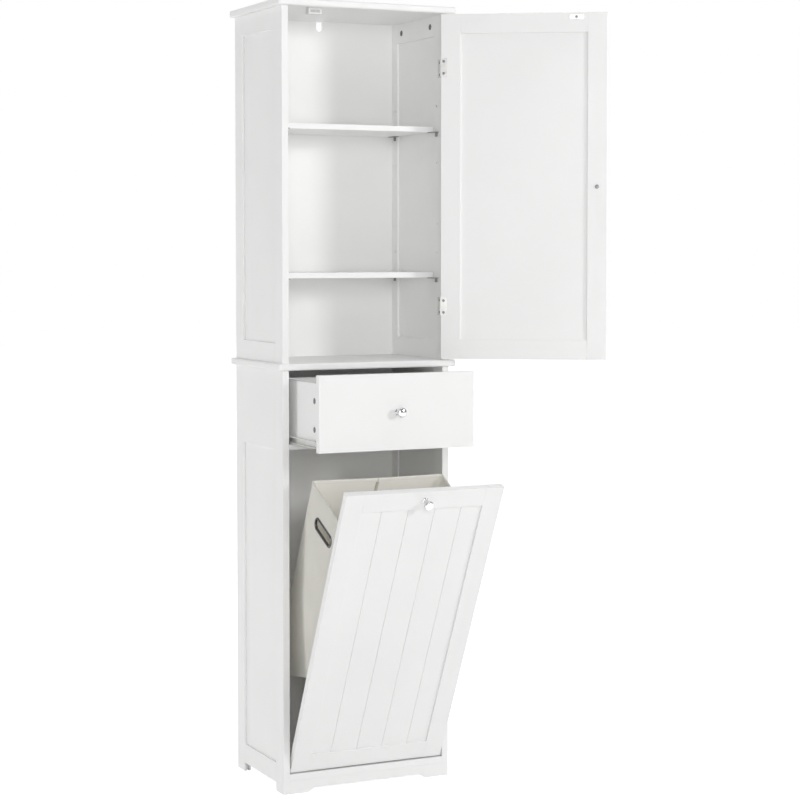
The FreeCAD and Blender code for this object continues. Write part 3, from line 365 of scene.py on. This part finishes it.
def canvas(name, look):
    material, tree, shader = newMaterial(name)
    shader.inputs["Sheen Weight"].default_value = look["fuzz"]
    shader.inputs["Sheen Roughness"].default_value = look["fuzzRoughness"]
    threads = placeGroup(tree, weave, Pitch=look["pitch"], Slub=look["slub"])
    blotch = placeGroup(tree, mottle, Size=look["blotchSize"], Low=-look["blotch"], High=look["blotch"])
    tone = mathNode(tree, "ADD", threads.outputs["Thread"], blotch.outputs["Value"])
    woven = colourBlend(tree, shader, tone, look["valley"], look["crown"])
    # Painted light: the marked faces inside the bag turn paler by this share, in place of light that reaches
    # them
    paintedInsideMask = addNode(tree, "ShaderNodeAttribute", attribute_name="paintedInsideLight")
    paintedInsideBlend = addNode(tree, "ShaderNodeMix", data_type="RGBA")
    paintedInsideBlend.inputs["B"].default_value = (*look["paintedInsideLight"], 1.0)
    share = mathNode(tree, "MULTIPLY", paintedInsideMask.outputs["Fac"], look["paintedInsideShare"])
    tree.links.new(share, paintedInsideBlend.inputs["Factor"])
    tree.links.new(woven.outputs["Result"], paintedInsideBlend.inputs["A"])
    tree.links.new(paintedInsideBlend.outputs["Result"], shader.inputs["Base Color"])
    nap = placeGroup(tree, mottle, Size=look["napSize"], Low=look["gloss"][0], High=look["gloss"][1])
    tree.links.new(nap.outputs["Value"], shader.inputs["Roughness"])
    bumpFrom(tree, shader, threads.outputs["Height"], look["depth"])
    return material


finishes["cream_cloth"] = canvas("creamCloth", creamCloth)
threadFinish = canvas("sewingThread", threadLook)
for node in frame["nodes"].values():
    slotName = node.material_slots[0].material.name
    node.material_slots[0].material = finishes[slotName]
frame["nodes"]["shelf_supports"].material_slots[0].material = metal("supportSteel", supportSteel)
print("finishes on", len(frame["nodes"]), "nodes")

# Painted edges are eased a little, so that the joints of the two framed doors show as fine lines
easedEdge = {"width": 0.0013, "segments": 2, "angle": 50.0}
framePieces = ["door_free_stile", "door_hinge_stile", "door_top_rail", "door_bottom_rail",
               "hamper_left_stile", "hamper_right_stile", "hamper_top_rail", "hamper_bottom_rail"]
for node in framePieces:
    ease = frame["nodes"][node].modifiers.new("easedEdge", "BEVEL")
    ease.width = easedEdge["width"]
    ease.segments = easedEdge["segments"]
    ease.limit_method = "ANGLE"
    ease.angle_limit = math.radians(easedEdge["angle"])
print("edges eased on", len(framePieces), "pieces")

# Laundry bag: a stiffened canvas shell with a folded hem, a sewn-in floor and oval hand holes
bagLook = {
    "cornerRadius": 0.007, "cornerSteps": 4, "longCuts": 22, "foldCuts": 5, "wallRings": 28, "floorRings": 5,
    "longEdge": 0.1,                           # edges of the outline longer than this are divided
    "wall": 0.0022, "inset": 0.0011,           # thickness, and how far its middle lies inside the outline
    "wallFrom": 0.95,                          # share of the way out to the side or rear where a wall stands
    "sideBow": 0.0045, "rearBow": 0.0060,      # how far the walls belly out at mid height
    "bowReach": 1.05, "bowPower": 1.3,         # the belly ends a little below the rim, and how narrow it is
    "rimDip": 0.0008, "rimPull": 0.0015,       # slack of the rim between its corners, down and inwards
    "rimFrom": 0.8,                            # share of the height where that slack begins
    "rimLift": 0.007,                          # how far the rim rises towards the rear
    "floorSag": 0.006, "crinkle": 0.0014, "crinkleSize": 0.08,
    "foldWidth": 0.0030, "foldDepth": 0.0120,  # fold line down the middle of the rear wall; its faces keep the darker cloth, as painted shade in the crease
    "foldFade": 120.0,                         # how fast it fades out at the rim
    "lyingFrom": 0.6,                          # cloth that is at least this level is mapped from above
    "smoothAngle": 50,
}
hemLook = {
    "height": 0.0075, "thick": 0.0021, "rise": 0.0008, "round": 0.0010,
    "toeShare": 0.6, "toeDrop": 0.0004,        # its lower edge thins out
    "stitchDrop": 0.0058, "stitchLength": 0.0036, "stitchPitch": 0.0046, "stitchRadius": 0.00050,
    "stitchSides": 6, "stitchRings": 5,
    "pipingRadius": 0.0015, "pipingSides": 8,
}
gripLook = {
    "band": 0.0050, "dome": 0.0019, "edge": 0.0003, "endSteps": 16,
    "clothEdge": 0.3,                          # where the cloth ends under the band, as a share of its width
    "cutReach": 1.2,                           # of the bar that cuts the holes, in half widths of the bag
    # across the band and up its dome, as shares
    "profile": [(0.0, 0.35), (0.06, 0.72), (0.2, 0.94), (0.4, 1.0), (0.65, 0.86), (0.88, 0.5), (1.0, 0.0)],
}
bagLow, bagHigh = closedBox("laundry_bag")
bagPoints = closedPoints("laundry_bag")
bagRimRear = max(point.y for point in bagPoints if point.z > bagHigh.z - levelSlack)
bagFrontFoot = min(point.z for point in bagPoints if point.y < bagLow.y + levelSlack)
bagDepth = bagHigh.y - bagLow.y
gripLow, gripHigh = closedBox("bag_grommets")
gripMiddle = Vector((0.0, (gripLow.y + gripHigh.y) / 2, (gripLow.z + gripHigh.z) / 2))
gripWidth = gripHigh.z - gripLow.z
gripStraight = (gripHigh.y - gripLow.y - gripWidth) / 2  # from its middle to the middle of a round end


def onlyVerts(items):
    return [item for item in items if isinstance(item, bmesh.types.BMVert)]


def edgesWithin(items, verts):
    wanted = set(verts)
    return [item for item in items if isinstance(item, bmesh.types.BMEdge) and set(item.verts) <= wanted]


def bagOutline():  # the bag seen from above: corners rounded, long edges divided, in order round it
    bm = bmesh.new()
    half = bagHigh.x - bagLook["inset"]
    corners = [(-half, 0.0), (half, 0.0), (half, bagDepth), (-half, bagDepth)]
    bm.faces.new([bm.verts.new((x, y, 0.0)) for x, y in corners])
    bmesh.ops.bevel(bm, geom=bm.verts[:], affect="VERTICES", offset=bagLook["cornerRadius"],
                    segments=bagLook["cornerSteps"], profile=0.5, material=-1)
    bmesh.ops.delete(bm, geom=bm.faces[:], context="FACES_ONLY")
    longEdges = [edge for edge in bm.edges if edge.calc_length() > bagLook["longEdge"]]
    bmesh.ops.subdivide_edges(bm, edges=longEdges, cuts=bagLook["longCuts"])
    middles = [edge for edge in bm.edges if edge.verts[0].co.x * edge.verts[1].co.x < 0]
    bmesh.ops.subdivide_edges(bm, edges=middles, cuts=bagLook["foldCuts"])
    front = [vert for vert in bm.verts if vert.co.y < sameSpot]
    vert = max(front, key=lambda one: one.co.x)  # so that the walk goes round one way
    edge = max(vert.link_edges, key=lambda one: one.other_vert(vert).co.y)
    outline = []
    while len(outline) < len(bm.verts):
        outline.append(vert.co.copy())
        vert = edge.other_vert(vert)
        edge = next(other for other in vert.link_edges if other is not edge)
    bm.free()
    return outline


def bagSpot(plan, rise):  # where the cloth lies: rise is 0 at the floor seam and 1 at the rim
    share = plan.y / bagDepth
    across = plan.x / bagHigh.x
    rear = bagHigh.y + (bagRimRear - bagHigh.y) * rise
    foot = bagFrontFoot + (bagLow.z - bagFrontFoot) * share
    top = bagHigh.z + bagLook["rimLift"] * share
    inset = bagLook["inset"]
    back = bagLow.y + inset + share * (rear - bagLow.y - 2 * inset)
    spot = Vector((plan.x, back, foot + (top - foot) * rise))
    belly = math.sin(math.pi * min(rise * bagLook["bowReach"], 1.0)) ** bagLook["bowPower"]
    atSide, atRear = abs(across) > bagLook["wallFrom"], share > bagLook["wallFrom"]
    sideSlack = max(0.0, 1.0 - (2 * share - 1) ** 2) * math.copysign(atSide, across)
    rearSlack = max(0.0, 1.0 - across ** 2) * atRear
    lip = max(0.0, (rise - bagLook["rimFrom"]) / (1.0 - bagLook["rimFrom"])) ** 2
    ripple = noise.noise(spot / bagLook["crinkleSize"]) * bagLook["crinkle"] * belly
    spot.x += sideSlack * (belly * bagLook["sideBow"] - lip * bagLook["rimPull"] + ripple)
    spot.y += rearSlack * (belly * bagLook["rearBow"] - lip * bagLook["rimPull"] + ripple)
    spot.z -= lip * bagLook["rimDip"] * (abs(sideSlack) + rearSlack)
    fade = min(1.0, (1 - rise) * bagLook["foldFade"])
    fold = max(0.0, 1.0 - abs(plan.x) / bagLook["foldWidth"]) * atRear * fade
    spot.y += fold * bagLook["foldDepth"]
    return spot


def startRing(bm, spots):
    places = bm.verts.layers.int.new("place")
    verts = [bm.verts.new(spot) for spot in spots]
    for number, vert in enumerate(verts):
        vert[places] = number
    edges = [bm.edges.new((verts[number - 1], verts[number])) for number in range(len(verts))]
    return edges, places


def growRing(bm, edges, places, spots):  # extrude the ring and move each new point to its spot
    grown = bmesh.ops.extrude_edge_only(bm, edges=edges)["geom"]
    fresh = onlyVerts(grown)
    for vert in fresh:
        vert.co = spots[vert[places]]
    return edgesWithin(grown, fresh)


def runLengths(outline):  # length of cloth round the bag up to each point of the outline
    lengths = [0.0]
    for number in range(len(outline)):
        step = outline[(number + 1) % len(outline)] - outline[number]
        lengths.append(lengths[-1] + step.length)
    return lengths


def flatMap(bm, places, lengths):  # the cloth laid flat, in metres, so that the weave follows it
    layer = bm.loops.layers.uv.new("flat")
    count = len(lengths) - 1
    for face in bm.faces:
        face.normal_update()
        numbers = [loop.vert[places] for loop in face.loops]
        wraps = max(numbers) - min(numbers) > count / 2
        lies = abs(face.normal.z) > bagLook["lyingFrom"]
        for loop, number in zip(face.loops, numbers):
            number += count if wraps and number < count / 2 else 0
            spot = loop.vert.co
            loop[layer].uv = (spot.x, spot.y) if lies else (lengths[number], spot.z)


def applyModifiers(piece):  # keep the shaped mesh and drop the modifiers that shaped it
    bpy.context.view_layer.update()
    graph = bpy.context.evaluated_depsgraph_get()
    shaped = bpy.data.meshes.new_from_object(piece.evaluated_get(graph))
    plain = piece.data
    piece.modifiers.clear()
    piece.data = shaped
    shaped.name = plain.name
    bpy.data.meshes.remove(plain)


def looseObject(name, bm):
    mesh = bpy.data.meshes.new(name)
    bm.to_mesh(mesh)
    bm.free()
    thing = bpy.data.objects.new(name, mesh)
    bpy.context.scene.collection.objects.link(thing)
    return thing


def handHoles():  # an oval bar right through both side walls, to cut the hand holes with
    bm = bmesh.new()
    radius = gripWidth / 2 - gripLook["band"] * (1 - gripLook["clothEdge"])
    reach = bagHigh.x * gripLook["cutReach"]
    bmesh.ops.create_circle(bm, cap_ends=True, segments=4 * gripLook["endSteps"], radius=radius)
    bmesh.ops.rotate(bm, verts=bm.verts, matrix=Matrix.Rotation(math.pi / 2, 3, "Y"), cent=(0.0, 0.0, 0.0))
    for side in (-1, 1):
        ends = [vert for vert in bm.verts if vert.co.y * side > sameSpot]
        bmesh.ops.translate(bm, verts=ends, vec=(0.0, side * gripStraight, 0.0))
    bmesh.ops.translate(bm, verts=bm.verts, vec=(-reach, 0.0, 0.0))
    bar = bmesh.ops.extrude_face_region(bm, geom=bm.faces[:])["geom"]
    bmesh.ops.translate(bm, verts=onlyVerts(bar), vec=(2 * reach, 0.0, 0.0))
    bmesh.ops.recalc_face_normals(bm, faces=bm.faces)
    bmesh.ops.transform(bm, matrix=opening("hamper") @ Matrix.Translation(gripMiddle), verts=bm.verts)
    return looseObject("handHoles", bm)


def markPaintedInsideLight(bag):  # painted light: one on the faces that look into the bag, which turn paler, and zero on its fold line, which stays darker as painted shade
    middle = sum((Vector(corner) for corner in bag.bound_box), Vector()) / 8
    marks = []
    for face in bag.data.polygons:
        looksIn = (middle - face.center).dot(face.normal) > 0
        marks.append(float(looksIn and abs(face.center.x) > bagLook["foldWidth"]))
    paintedInsideLight = bag.data.attributes.new("paintedInsideLight", "FLOAT", "FACE")
    paintedInsideLight.data.foreach_set("value", marks)


def makeBag(outline, lengths):
    bm = bmesh.new()
    edges, places = startRing(bm, [bagSpot(plan, 0.0) for plan in outline])
    floorEdges = edges
    middle = Vector((0.0, bagDepth / 2, 0.0))
    for step in range(1, bagLook["floorRings"] + 1):
        shrink = 1.0 - step / (bagLook["floorRings"] + 0.5)
        spots = [bagSpot(middle + (plan - middle) * shrink, 0.0) for plan in outline]
        for spot in spots:
            spot.z -= bagLook["floorSag"] * (1 - shrink ** 2)
        floorEdges = growRing(bm, floorEdges, places, spots)
    bmesh.ops.holes_fill(bm, edges=floorEdges, sides=0)
    rises = [step / bagLook["wallRings"] for step in range(1, bagLook["wallRings"])]
    hemFoot = 1.0 - hemLook["height"] / (bagHigh.z - bagLow.z)
    for rise in rises + [hemFoot, 1.0]:
        edges = growRing(bm, edges, places, [bagSpot(plan, rise) for plan in outline])
    flatMap(bm, places, lengths)
    bmesh.ops.recalc_face_normals(bm, faces=bm.faces)
    bag = finishPiece(bm, "bag_shell", "hamper", finishes["cream_cloth"], "cream_cloth", ["laundry_bag"],
                      bagLook["smoothAngle"])
    wall = bag.modifiers.new("wall", "SOLIDIFY")
    wall.thickness = bagLook["wall"]
    wall.offset = 0.0
    holes = handHoles()
    cut = bag.modifiers.new("holes", "BOOLEAN")
    cut.operation = "DIFFERENCE"
    cut.object = holes
    applyModifiers(bag)
    bpy.data.objects.remove(holes)
    markPaintedInsideLight(bag)


def outwardAt(outline, number):  # square to the outline, away from the bag
    run = outline[(number + 1) % len(outline)] - outline[number - 1]
    return Vector((run.y, -run.x, 0.0)).normalized()


def makeBand(name, outline, lengths, rise, section):  # a closed section carried all round the bag
    bm = bmesh.new()
    rims = [bagSpot(plan, rise) for plan in outline]
    outs = [outwardAt(outline, number) for number in range(len(outline))]
    rings = []
    for side, up in section:
        rings.append([rim + out * side + Vector((0.0, 0.0, up)) for rim, out in zip(rims, outs)])
    first, places = startRing(bm, rings[0])
    last = first
    for ring in rings[1:]:
        last = growRing(bm, last, places, ring)
    bmesh.ops.bridge_loops(bm, edges=first + last)
    flatMap(bm, places, lengths)
    bmesh.ops.recalc_face_normals(bm, faces=bm.faces)
    return finishPiece(bm, name, "hamper", finishes["cream_cloth"], "cream_cloth")


def hemSection():  # folded over the rim, thicker than the wall and soft at its edges
    thick, soft, top = hemLook["thick"], hemLook["round"], hemLook["rise"]
    foot = -hemLook["height"]
    toe, toeFoot = thick * hemLook["toeShare"], foot - hemLook["toeDrop"]
    return [(-toe, toeFoot), (-thick, foot), (-thick, top - soft), (-thick + soft, top),
            (thick - soft, top), (thick, top - soft), (thick, foot), (toe, toeFoot)]


def pipingSection():
    sides, radius = hemLook["pipingSides"], hemLook["pipingRadius"]
    angles = [2 * math.pi * number / sides for number in range(sides)]
    return [(radius * math.cos(angle), radius * math.sin(angle)) for angle in angles]


def makeStitches(outline, lengths):  # one row of thread on each face of the hem
    bm, stitchForm = bmesh.new(), bmesh.new()
    count = int(lengths[-1] / hemLook["stitchPitch"])
    size = (hemLook["stitchLength"] / 2, hemLook["stitchRadius"], hemLook["stitchRadius"], 1.0)
    bmesh.ops.create_uvsphere(stitchForm, u_segments=hemLook["stitchSides"],
                              v_segments=hemLook["stitchRings"], radius=1.0, matrix=Matrix.Diagonal(size))
    thread = bpy.data.meshes.new("thread")
    stitchForm.to_mesh(thread)
    stitchForm.free()
    number = 0
    for stitch in range(count):
        along = (stitch + 0.5) * lengths[-1] / count
        while lengths[number + 1] < along:
            number += 1
        first, second = bagSpot(outline[number], 1.0), bagSpot(outline[(number + 1) % len(outline)], 1.0)
        middle = first.lerp(second, (along - lengths[number]) / (lengths[number + 1] - lengths[number]))
        run = (second - first).normalized()
        out = Vector((run.y, -run.x, 0.0)).normalized()
        for side in (-1, 1):
            spot = middle + out * side * hemLook["thick"] - Vector((0.0, 0.0, hemLook["stitchDrop"]))
            turn = Matrix((run, out, run.cross(out))).transposed().to_4x4()
            before = len(bm.verts)
            bm.from_mesh(thread)
            bm.verts.ensure_lookup_table()
            bmesh.ops.transform(bm, matrix=Matrix.Translation(spot) @ turn, verts=bm.verts[before:])
    bpy.data.meshes.remove(thread)
    bmesh.ops.recalc_face_normals(bm, faces=bm.faces)
    return finishPiece(bm, "bag_stitches", "hamper", threadFinish, "cream_cloth")


def gripSection():  # a rolled band: a dome on each face of the cloth, joined through the hole
    band, dome, edge = gripLook["band"], gripLook["dome"], gripLook["edge"]
    inner, half = gripWidth / 2 - band, bagLook["wall"] / 2
    outside = [(inner + band * share, half + edge + (dome - edge) * lift)
               for share, lift in gripLook["profile"]]
    return outside + [(radius, -across) for radius, across in reversed(outside)]


def makeGrommets():
    whole = bmesh.new()
    share = (gripMiddle.y - bagLow.y) / bagDepth
    foot = bagFrontFoot + (bagLow.z - bagFrontFoot) * share
    plan = Vector((bagHigh.x - bagLook["inset"], share * bagDepth, 0.0))
    wallX = bagSpot(plan, (gripMiddle.z - foot) / (bagHigh.z - foot)).x
    for side in (-1, 1):
        bm = bmesh.new()
        verts = [bm.verts.new((across, -gripStraight, radius)) for radius, across in gripSection()]
        edges = [bm.edges.new((verts[number - 1], verts[number])) for number in range(len(verts))]
        for end in (1, -1):
            grown = bmesh.ops.extrude_edge_only(bm, edges=edges)["geom"]
            fresh = onlyVerts(grown)
            bmesh.ops.translate(bm, verts=fresh, vec=(0.0, 2 * end * gripStraight, 0.0))
            turned = bmesh.ops.spin(bm, geom=fresh + edgesWithin(grown, fresh), angle=-math.pi,
                                    cent=(0.0, end * gripStraight, 0.0), axis=(1.0, 0.0, 0.0),
                                    steps=gripLook["endSteps"])["geom_last"]
            edges = edgesWithin(turned, onlyVerts(turned))
        bmesh.ops.remove_doubles(bm, verts=bm.verts, dist=sameSpot)
        bmesh.ops.recalc_face_normals(bm, faces=bm.faces)
        bmesh.ops.translate(bm, verts=bm.verts, vec=gripMiddle + Vector((side * wallX, 0.0, 0.0)))
        ring = bpy.data.meshes.new("ring")
        bm.to_mesh(ring)
        bm.free()
        whole.from_mesh(ring)
        bpy.data.meshes.remove(ring)
    return finishPiece(whole, "bag_grip_rings", "hamper", finishes["dark_steel"], "dark_steel",
                       ["bag_grommets"])


outline = bagOutline()
lengths = runLengths(outline)
makeBag(outline, lengths)
# The hem's inward faces take the same painted paler inside
markPaintedInsideLight(makeBand("bag_hem", outline, lengths, 1.0, hemSection()))
makeBand("bag_piping", outline, lengths, 0.0, pipingSection())
makeStitches(outline, lengths)
makeGrommets()
print("bag made:", len(outline), "points round it")

# Turned knobs: radius and height above the door, in metres, smoothed by subdivision
knobLook = {
    "steps": 32, "levels": 2, "smoothAngle": 180,
    "profile": [(0.0018, 0.0), (0.0066, 0.0), (0.0070, 0.0003), (0.0070, 0.0017), (0.0064, 0.0026),
                (0.0049, 0.0032), (0.0043, 0.0048), (0.0043, 0.0116), (0.0050, 0.0142), (0.0078, 0.0161),
                (0.0099, 0.0173), (0.0106, 0.0196), (0.0105, 0.0220), (0.0094, 0.0240), (0.0086, 0.0245),
                (0.0060, 0.0255), (0.0018, 0.0261)],
}


def makeKnob(node):
    low, high = closedBox(node)
    bm = bmesh.new()
    verts = [bm.verts.new((radius, -height, 0.0)) for radius, height in knobLook["profile"]]
    edges = [bm.edges.new(pair) for pair in zip(verts, verts[1:])]
    bmesh.ops.spin(bm, geom=verts + edges, cent=(0.0, 0.0, 0.0), axis=(0.0, 1.0, 0.0), angle=2 * math.pi,
                   steps=knobLook["steps"], use_merge=True)
    bmesh.ops.holes_fill(bm, edges=[edge for edge in bm.edges if edge.is_boundary], sides=0)
    bmesh.ops.recalc_face_normals(bm, faces=bm.faces)
    bmesh.ops.translate(bm, verts=bm.verts, vec=((low.x + high.x) / 2, high.y, (low.z + high.z) / 2))
    knob = finishPiece(bm, node + "_turned", bodyOf(node), finishes["chrome"], "chrome", [node],
                       knobLook["smoothAngle"])
    smooth = knob.modifiers.new("smooth", "SUBSURF")
    smooth.levels = knobLook["levels"]
    smooth.render_levels = knobLook["levels"]


for node in ("door_knob", "drawer_knob", "hamper_knob"):
    makeKnob(node)
print("knobs turned")

# Screws: the way each head faces on the closed cabinet, and a cross recess as shares of the head's radius
screwFacing = {
    "frame_hinge_screws": (-1.0, 0.0, 0.0), "door_hinge_screws": (0.0, 1.0, 0.0),
    "strike_screw": (0.0, 1.0, 0.0), "door_knob_screw": (0.0, 1.0, 0.0),
    "drawer_knob_screw": (0.0, 1.0, 0.0), "hamper_knob_screw": (0.0, 1.0, 0.0),
}
recessLook = {
    "reach": 0.62, "slot": 0.17, "depth": 0.30, "taper": 0.6,
    "lift": 0.2,                                      # how far the cutter stands out of the head
    "rim": 0.09, "rimSteps": 2, "rimFrom": 0.98,      # the eased edge, and where it lies
    "rimAngle": 0.3,                                  # the flat top, at a smaller angle, stays
    "headSlack": 1e-5, "smoothAngle": 30,             # metres within which points lie on the head's top
}
slotOf = {part["node"]: part["material_slot"] for part in frame["record"]["subparts"]}


def separateParts(bm):  # the points of each solid in a mesh
    left = set(bm.verts)
    while left:
        found, waiting = set(), [left.pop()]
        while waiting:
            vert = waiting.pop()
            found.add(vert)
            fresh = [edge.other_vert(vert) for edge in vert.link_edges if edge.other_vert(vert) in left]
            left.difference_update(fresh)
            waiting.extend(fresh)
        yield list(found)


def makeRecess(bm, middle, facing, radius):  # a tapered cross that sinks into the head
    slot, reach = recessLook["slot"] * radius, recessLook["reach"] * radius
    quarter = [(reach, -slot), (reach, slot), (slot, slot)]
    turns = [Matrix.Rotation(math.pi / 2 * number, 3, "Z") for number in range(4)]
    lift, depth = recessLook["lift"] * radius, recessLook["depth"] * radius
    cross = bm.faces.new([bm.verts.new(turn @ Vector((x, y, lift))) for turn in turns for x, y in quarter])
    sunk = onlyVerts(bmesh.ops.extrude_face_region(bm, geom=[cross])["geom"])
    taper = Matrix.Diagonal((recessLook["taper"], recessLook["taper"], 1.0, 1.0))
    bmesh.ops.transform(bm, matrix=Matrix.Translation((0.0, 0.0, -lift - depth)) @ taper, verts=sunk)
    stand = Matrix.Translation(middle) @ facing.to_track_quat("Z", "Y").to_matrix().to_4x4()
    bmesh.ops.transform(bm, matrix=stand, verts=list(cross.verts) + sunk)


def makeScrews(node, facing):
    facing, body = Vector(facing), bodyOf(node)
    bm, crosses = bmesh.new(), bmesh.new()
    bm.from_mesh(frame["nodes"][node].data)
    bmesh.ops.transform(bm, matrix=opening(body).inverted(), verts=bm.verts)
    bmesh.ops.remove_doubles(bm, verts=bm.verts, dist=sameSpot)
    rims = []
    for part in list(separateParts(bm)):
        top = max(vert.co.dot(facing) for vert in part)
        head = [vert for vert in part if vert.co.dot(facing) > top - recessLook["headSlack"]]
        middle = sum((vert.co for vert in head), Vector()) / len(head)
        radius = max((vert.co - middle).length for vert in head)
        makeRecess(crosses, middle, facing, radius)
        rim = {vert for vert in head if (vert.co - middle).length > recessLook["rimFrom"] * radius}
        rims += [edge for edge in bm.edges
                 if set(edge.verts) <= rim and edge.calc_face_angle() > recessLook["rimAngle"]]
    bmesh.ops.bevel(bm, geom=rims, affect="EDGES", offset=recessLook["rim"] * radius,
                    segments=recessLook["rimSteps"], profile=0.5, material=-1)
    bmesh.ops.recalc_face_normals(bm, faces=bm.faces)
    bmesh.ops.recalc_face_normals(crosses, faces=crosses.faces)
    bmesh.ops.transform(crosses, matrix=opening(body), verts=crosses.verts)
    cutter = looseObject("crosses", crosses)
    darker = finishes["zinc"]  # than the plates they hold
    screws = finishPiece(bm, node + "_driven", body, darker, slotOf[node], [node], recessLook["smoothAngle"])
    cut = screws.modifiers.new("recess", "BOOLEAN")
    cut.operation = "DIFFERENCE"
    cut.object = cutter
    applyModifiers(screws)
    bpy.data.objects.remove(cutter)


for node, facing in screwFacing.items():
    makeScrews(node, facing)
print("screws cut:", len(screwFacing), "pieces")

# Studio: pale floor, white surround and soft lamps
studio = {
    "floorSize": 40.0, "floorColour": (0.86, 0.86, 0.86), "floorRoughness": 0.9, "floorGlow": 0.78,
    "ambient": 0.37, "bounces": 12,             # white boxes seen from inside need many bounces
    "roomGlow": 0.25, "roomEdge": (-0.5, 0.4),  # reflections see a dim room in front and the white behind
}
lamps = {
    "keyLamp": {"place": (2.4, -3.9, 2.0), "aim": (0.0, 0.0, 0.9), "size": 0.8, "power": 49.0},
    "fillLamp": {"place": (-1.4, -4.5, 1.5), "aim": (0.0, 0.0, 0.9), "size": 1.6, "power": 63.0},
    "sideLamp": {"place": (-4.0, 1.9, 0.75), "aim": (0.0, 0.0, 0.9), "size": 1.0, "power": 50.0},
    "topLamp": {"place": (0.3, -1.0, 4.2), "aim": (0.0, -0.1, 0.9), "size": 2.0, "power": 18.0},
    "backLamp": {"place": (3.4, 3.0, 2.2), "aim": (0.0, 0.1, 0.9), "size": 2.4, "power": 60.0},
}


def lightRayShare(tree):  # one where the eye, a reflection or a see-through ray looks
    path = addNode(tree, "ShaderNodeLightPath")
    seen = mathNode(tree, "MAXIMUM", path.outputs["Is Camera Ray"], path.outputs["Is Glossy Ray"])
    return mathNode(tree, "MAXIMUM", seen, path.outputs["Is Transmission Ray"])


def makeFloor():
    bm = bmesh.new()
    bmesh.ops.create_grid(bm, x_segments=2, y_segments=2, size=studio["floorSize"] / 2)
    mesh = bpy.data.meshes.new("floor")
    bm.to_mesh(mesh)
    bm.free()
    floor = bpy.data.objects.new("floor", mesh)
    bpy.context.scene.collection.objects.link(floor)
    material, tree, shader = newMaterial("paleFloor")
    shader.inputs["Base Color"].default_value = (*studio["floorColour"], 1.0)
    shader.inputs["Emission Color"].default_value = (1.0, 1.0, 1.0, 1.0)
    shader.inputs["Roughness"].default_value = studio["floorRoughness"]
    tree.links.new(mathNode(tree, "MULTIPLY", lightRayShare(tree), studio["floorGlow"]),
                   shader.inputs["Emission Strength"])
    mesh.materials.append(material)


def makeWorld():
    world = bpy.data.worlds.new("studio")
    bpy.context.scene.world = world
    world.use_nodes = True
    tree = world.node_tree
    ground = tree.nodes["Background"]
    ground.inputs["Color"].default_value = (1.0, 1.0, 1.0, 1.0)
    way = addNode(tree, "ShaderNodeTexCoord")
    split = addNode(tree, "ShaderNodeSeparateXYZ")
    room = addNode(tree, "ShaderNodeMapRange")
    room.inputs["From Min"].default_value = studio["roomEdge"][0]
    room.inputs["From Max"].default_value = studio["roomEdge"][1]
    room.inputs["To Min"].default_value = studio["roomGlow"]
    path = addNode(tree, "ShaderNodeLightPath")
    tree.links.new(way.outputs["Generated"], split.inputs["Vector"])
    tree.links.new(split.outputs["Y"], room.inputs["Value"])
    mirrored = mathNode(tree, "MULTIPLY", path.outputs["Is Glossy Ray"], room.outputs["Result"])
    seen = mathNode(tree, "MAXIMUM", path.outputs["Is Camera Ray"], path.outputs["Is Transmission Ray"])
    shown = mathNode(tree, "MAXIMUM", seen, mirrored)
    tree.links.new(mathNode(tree, "MAXIMUM", shown, studio["ambient"]), ground.inputs["Strength"])


def makeLamp(name, lamp):
    light = bpy.data.lights.new(name, "AREA")
    light.shape = "SQUARE"
    light.size = lamp["size"]
    light.energy = lamp["power"]
    holder = bpy.data.objects.new(name, light)
    holder.location = lamp["place"]
    aim = Vector(lamp["aim"]) - Vector(lamp["place"])
    holder.rotation_euler = aim.to_track_quat("-Z", "Y").to_euler()
    bpy.context.scene.collection.objects.link(holder)


makeFloor()
makeWorld()
for name, lamp in lamps.items():
    makeLamp(name, lamp)

photoCamera = {
    "place": (-1.8471, -4.0029, 1.1722), "turn": 25.697, "dip": 2.898,  # degrees right and down
    "lens": 91.708, "shiftY": -0.06,
}


def makeCamera():
    data = bpy.data.cameras.new("photoCamera")
    data.lens = photoCamera["lens"]
    data.shift_y = photoCamera["shiftY"]
    camera = bpy.data.objects.new("photoCamera", data)
    camera.location = photoCamera["place"]
    camera.rotation_euler = (math.radians(90 - photoCamera["dip"]), 0.0, math.radians(-photoCamera["turn"]))
    bpy.context.scene.collection.objects.link(camera)
    bpy.context.scene.camera = camera


makeCamera()
bpy.context.scene.view_settings.view_transform = "Standard"
bpy.context.scene.cycles.diffuse_bounces = studio["bounces"]
print("studio and camera ready")
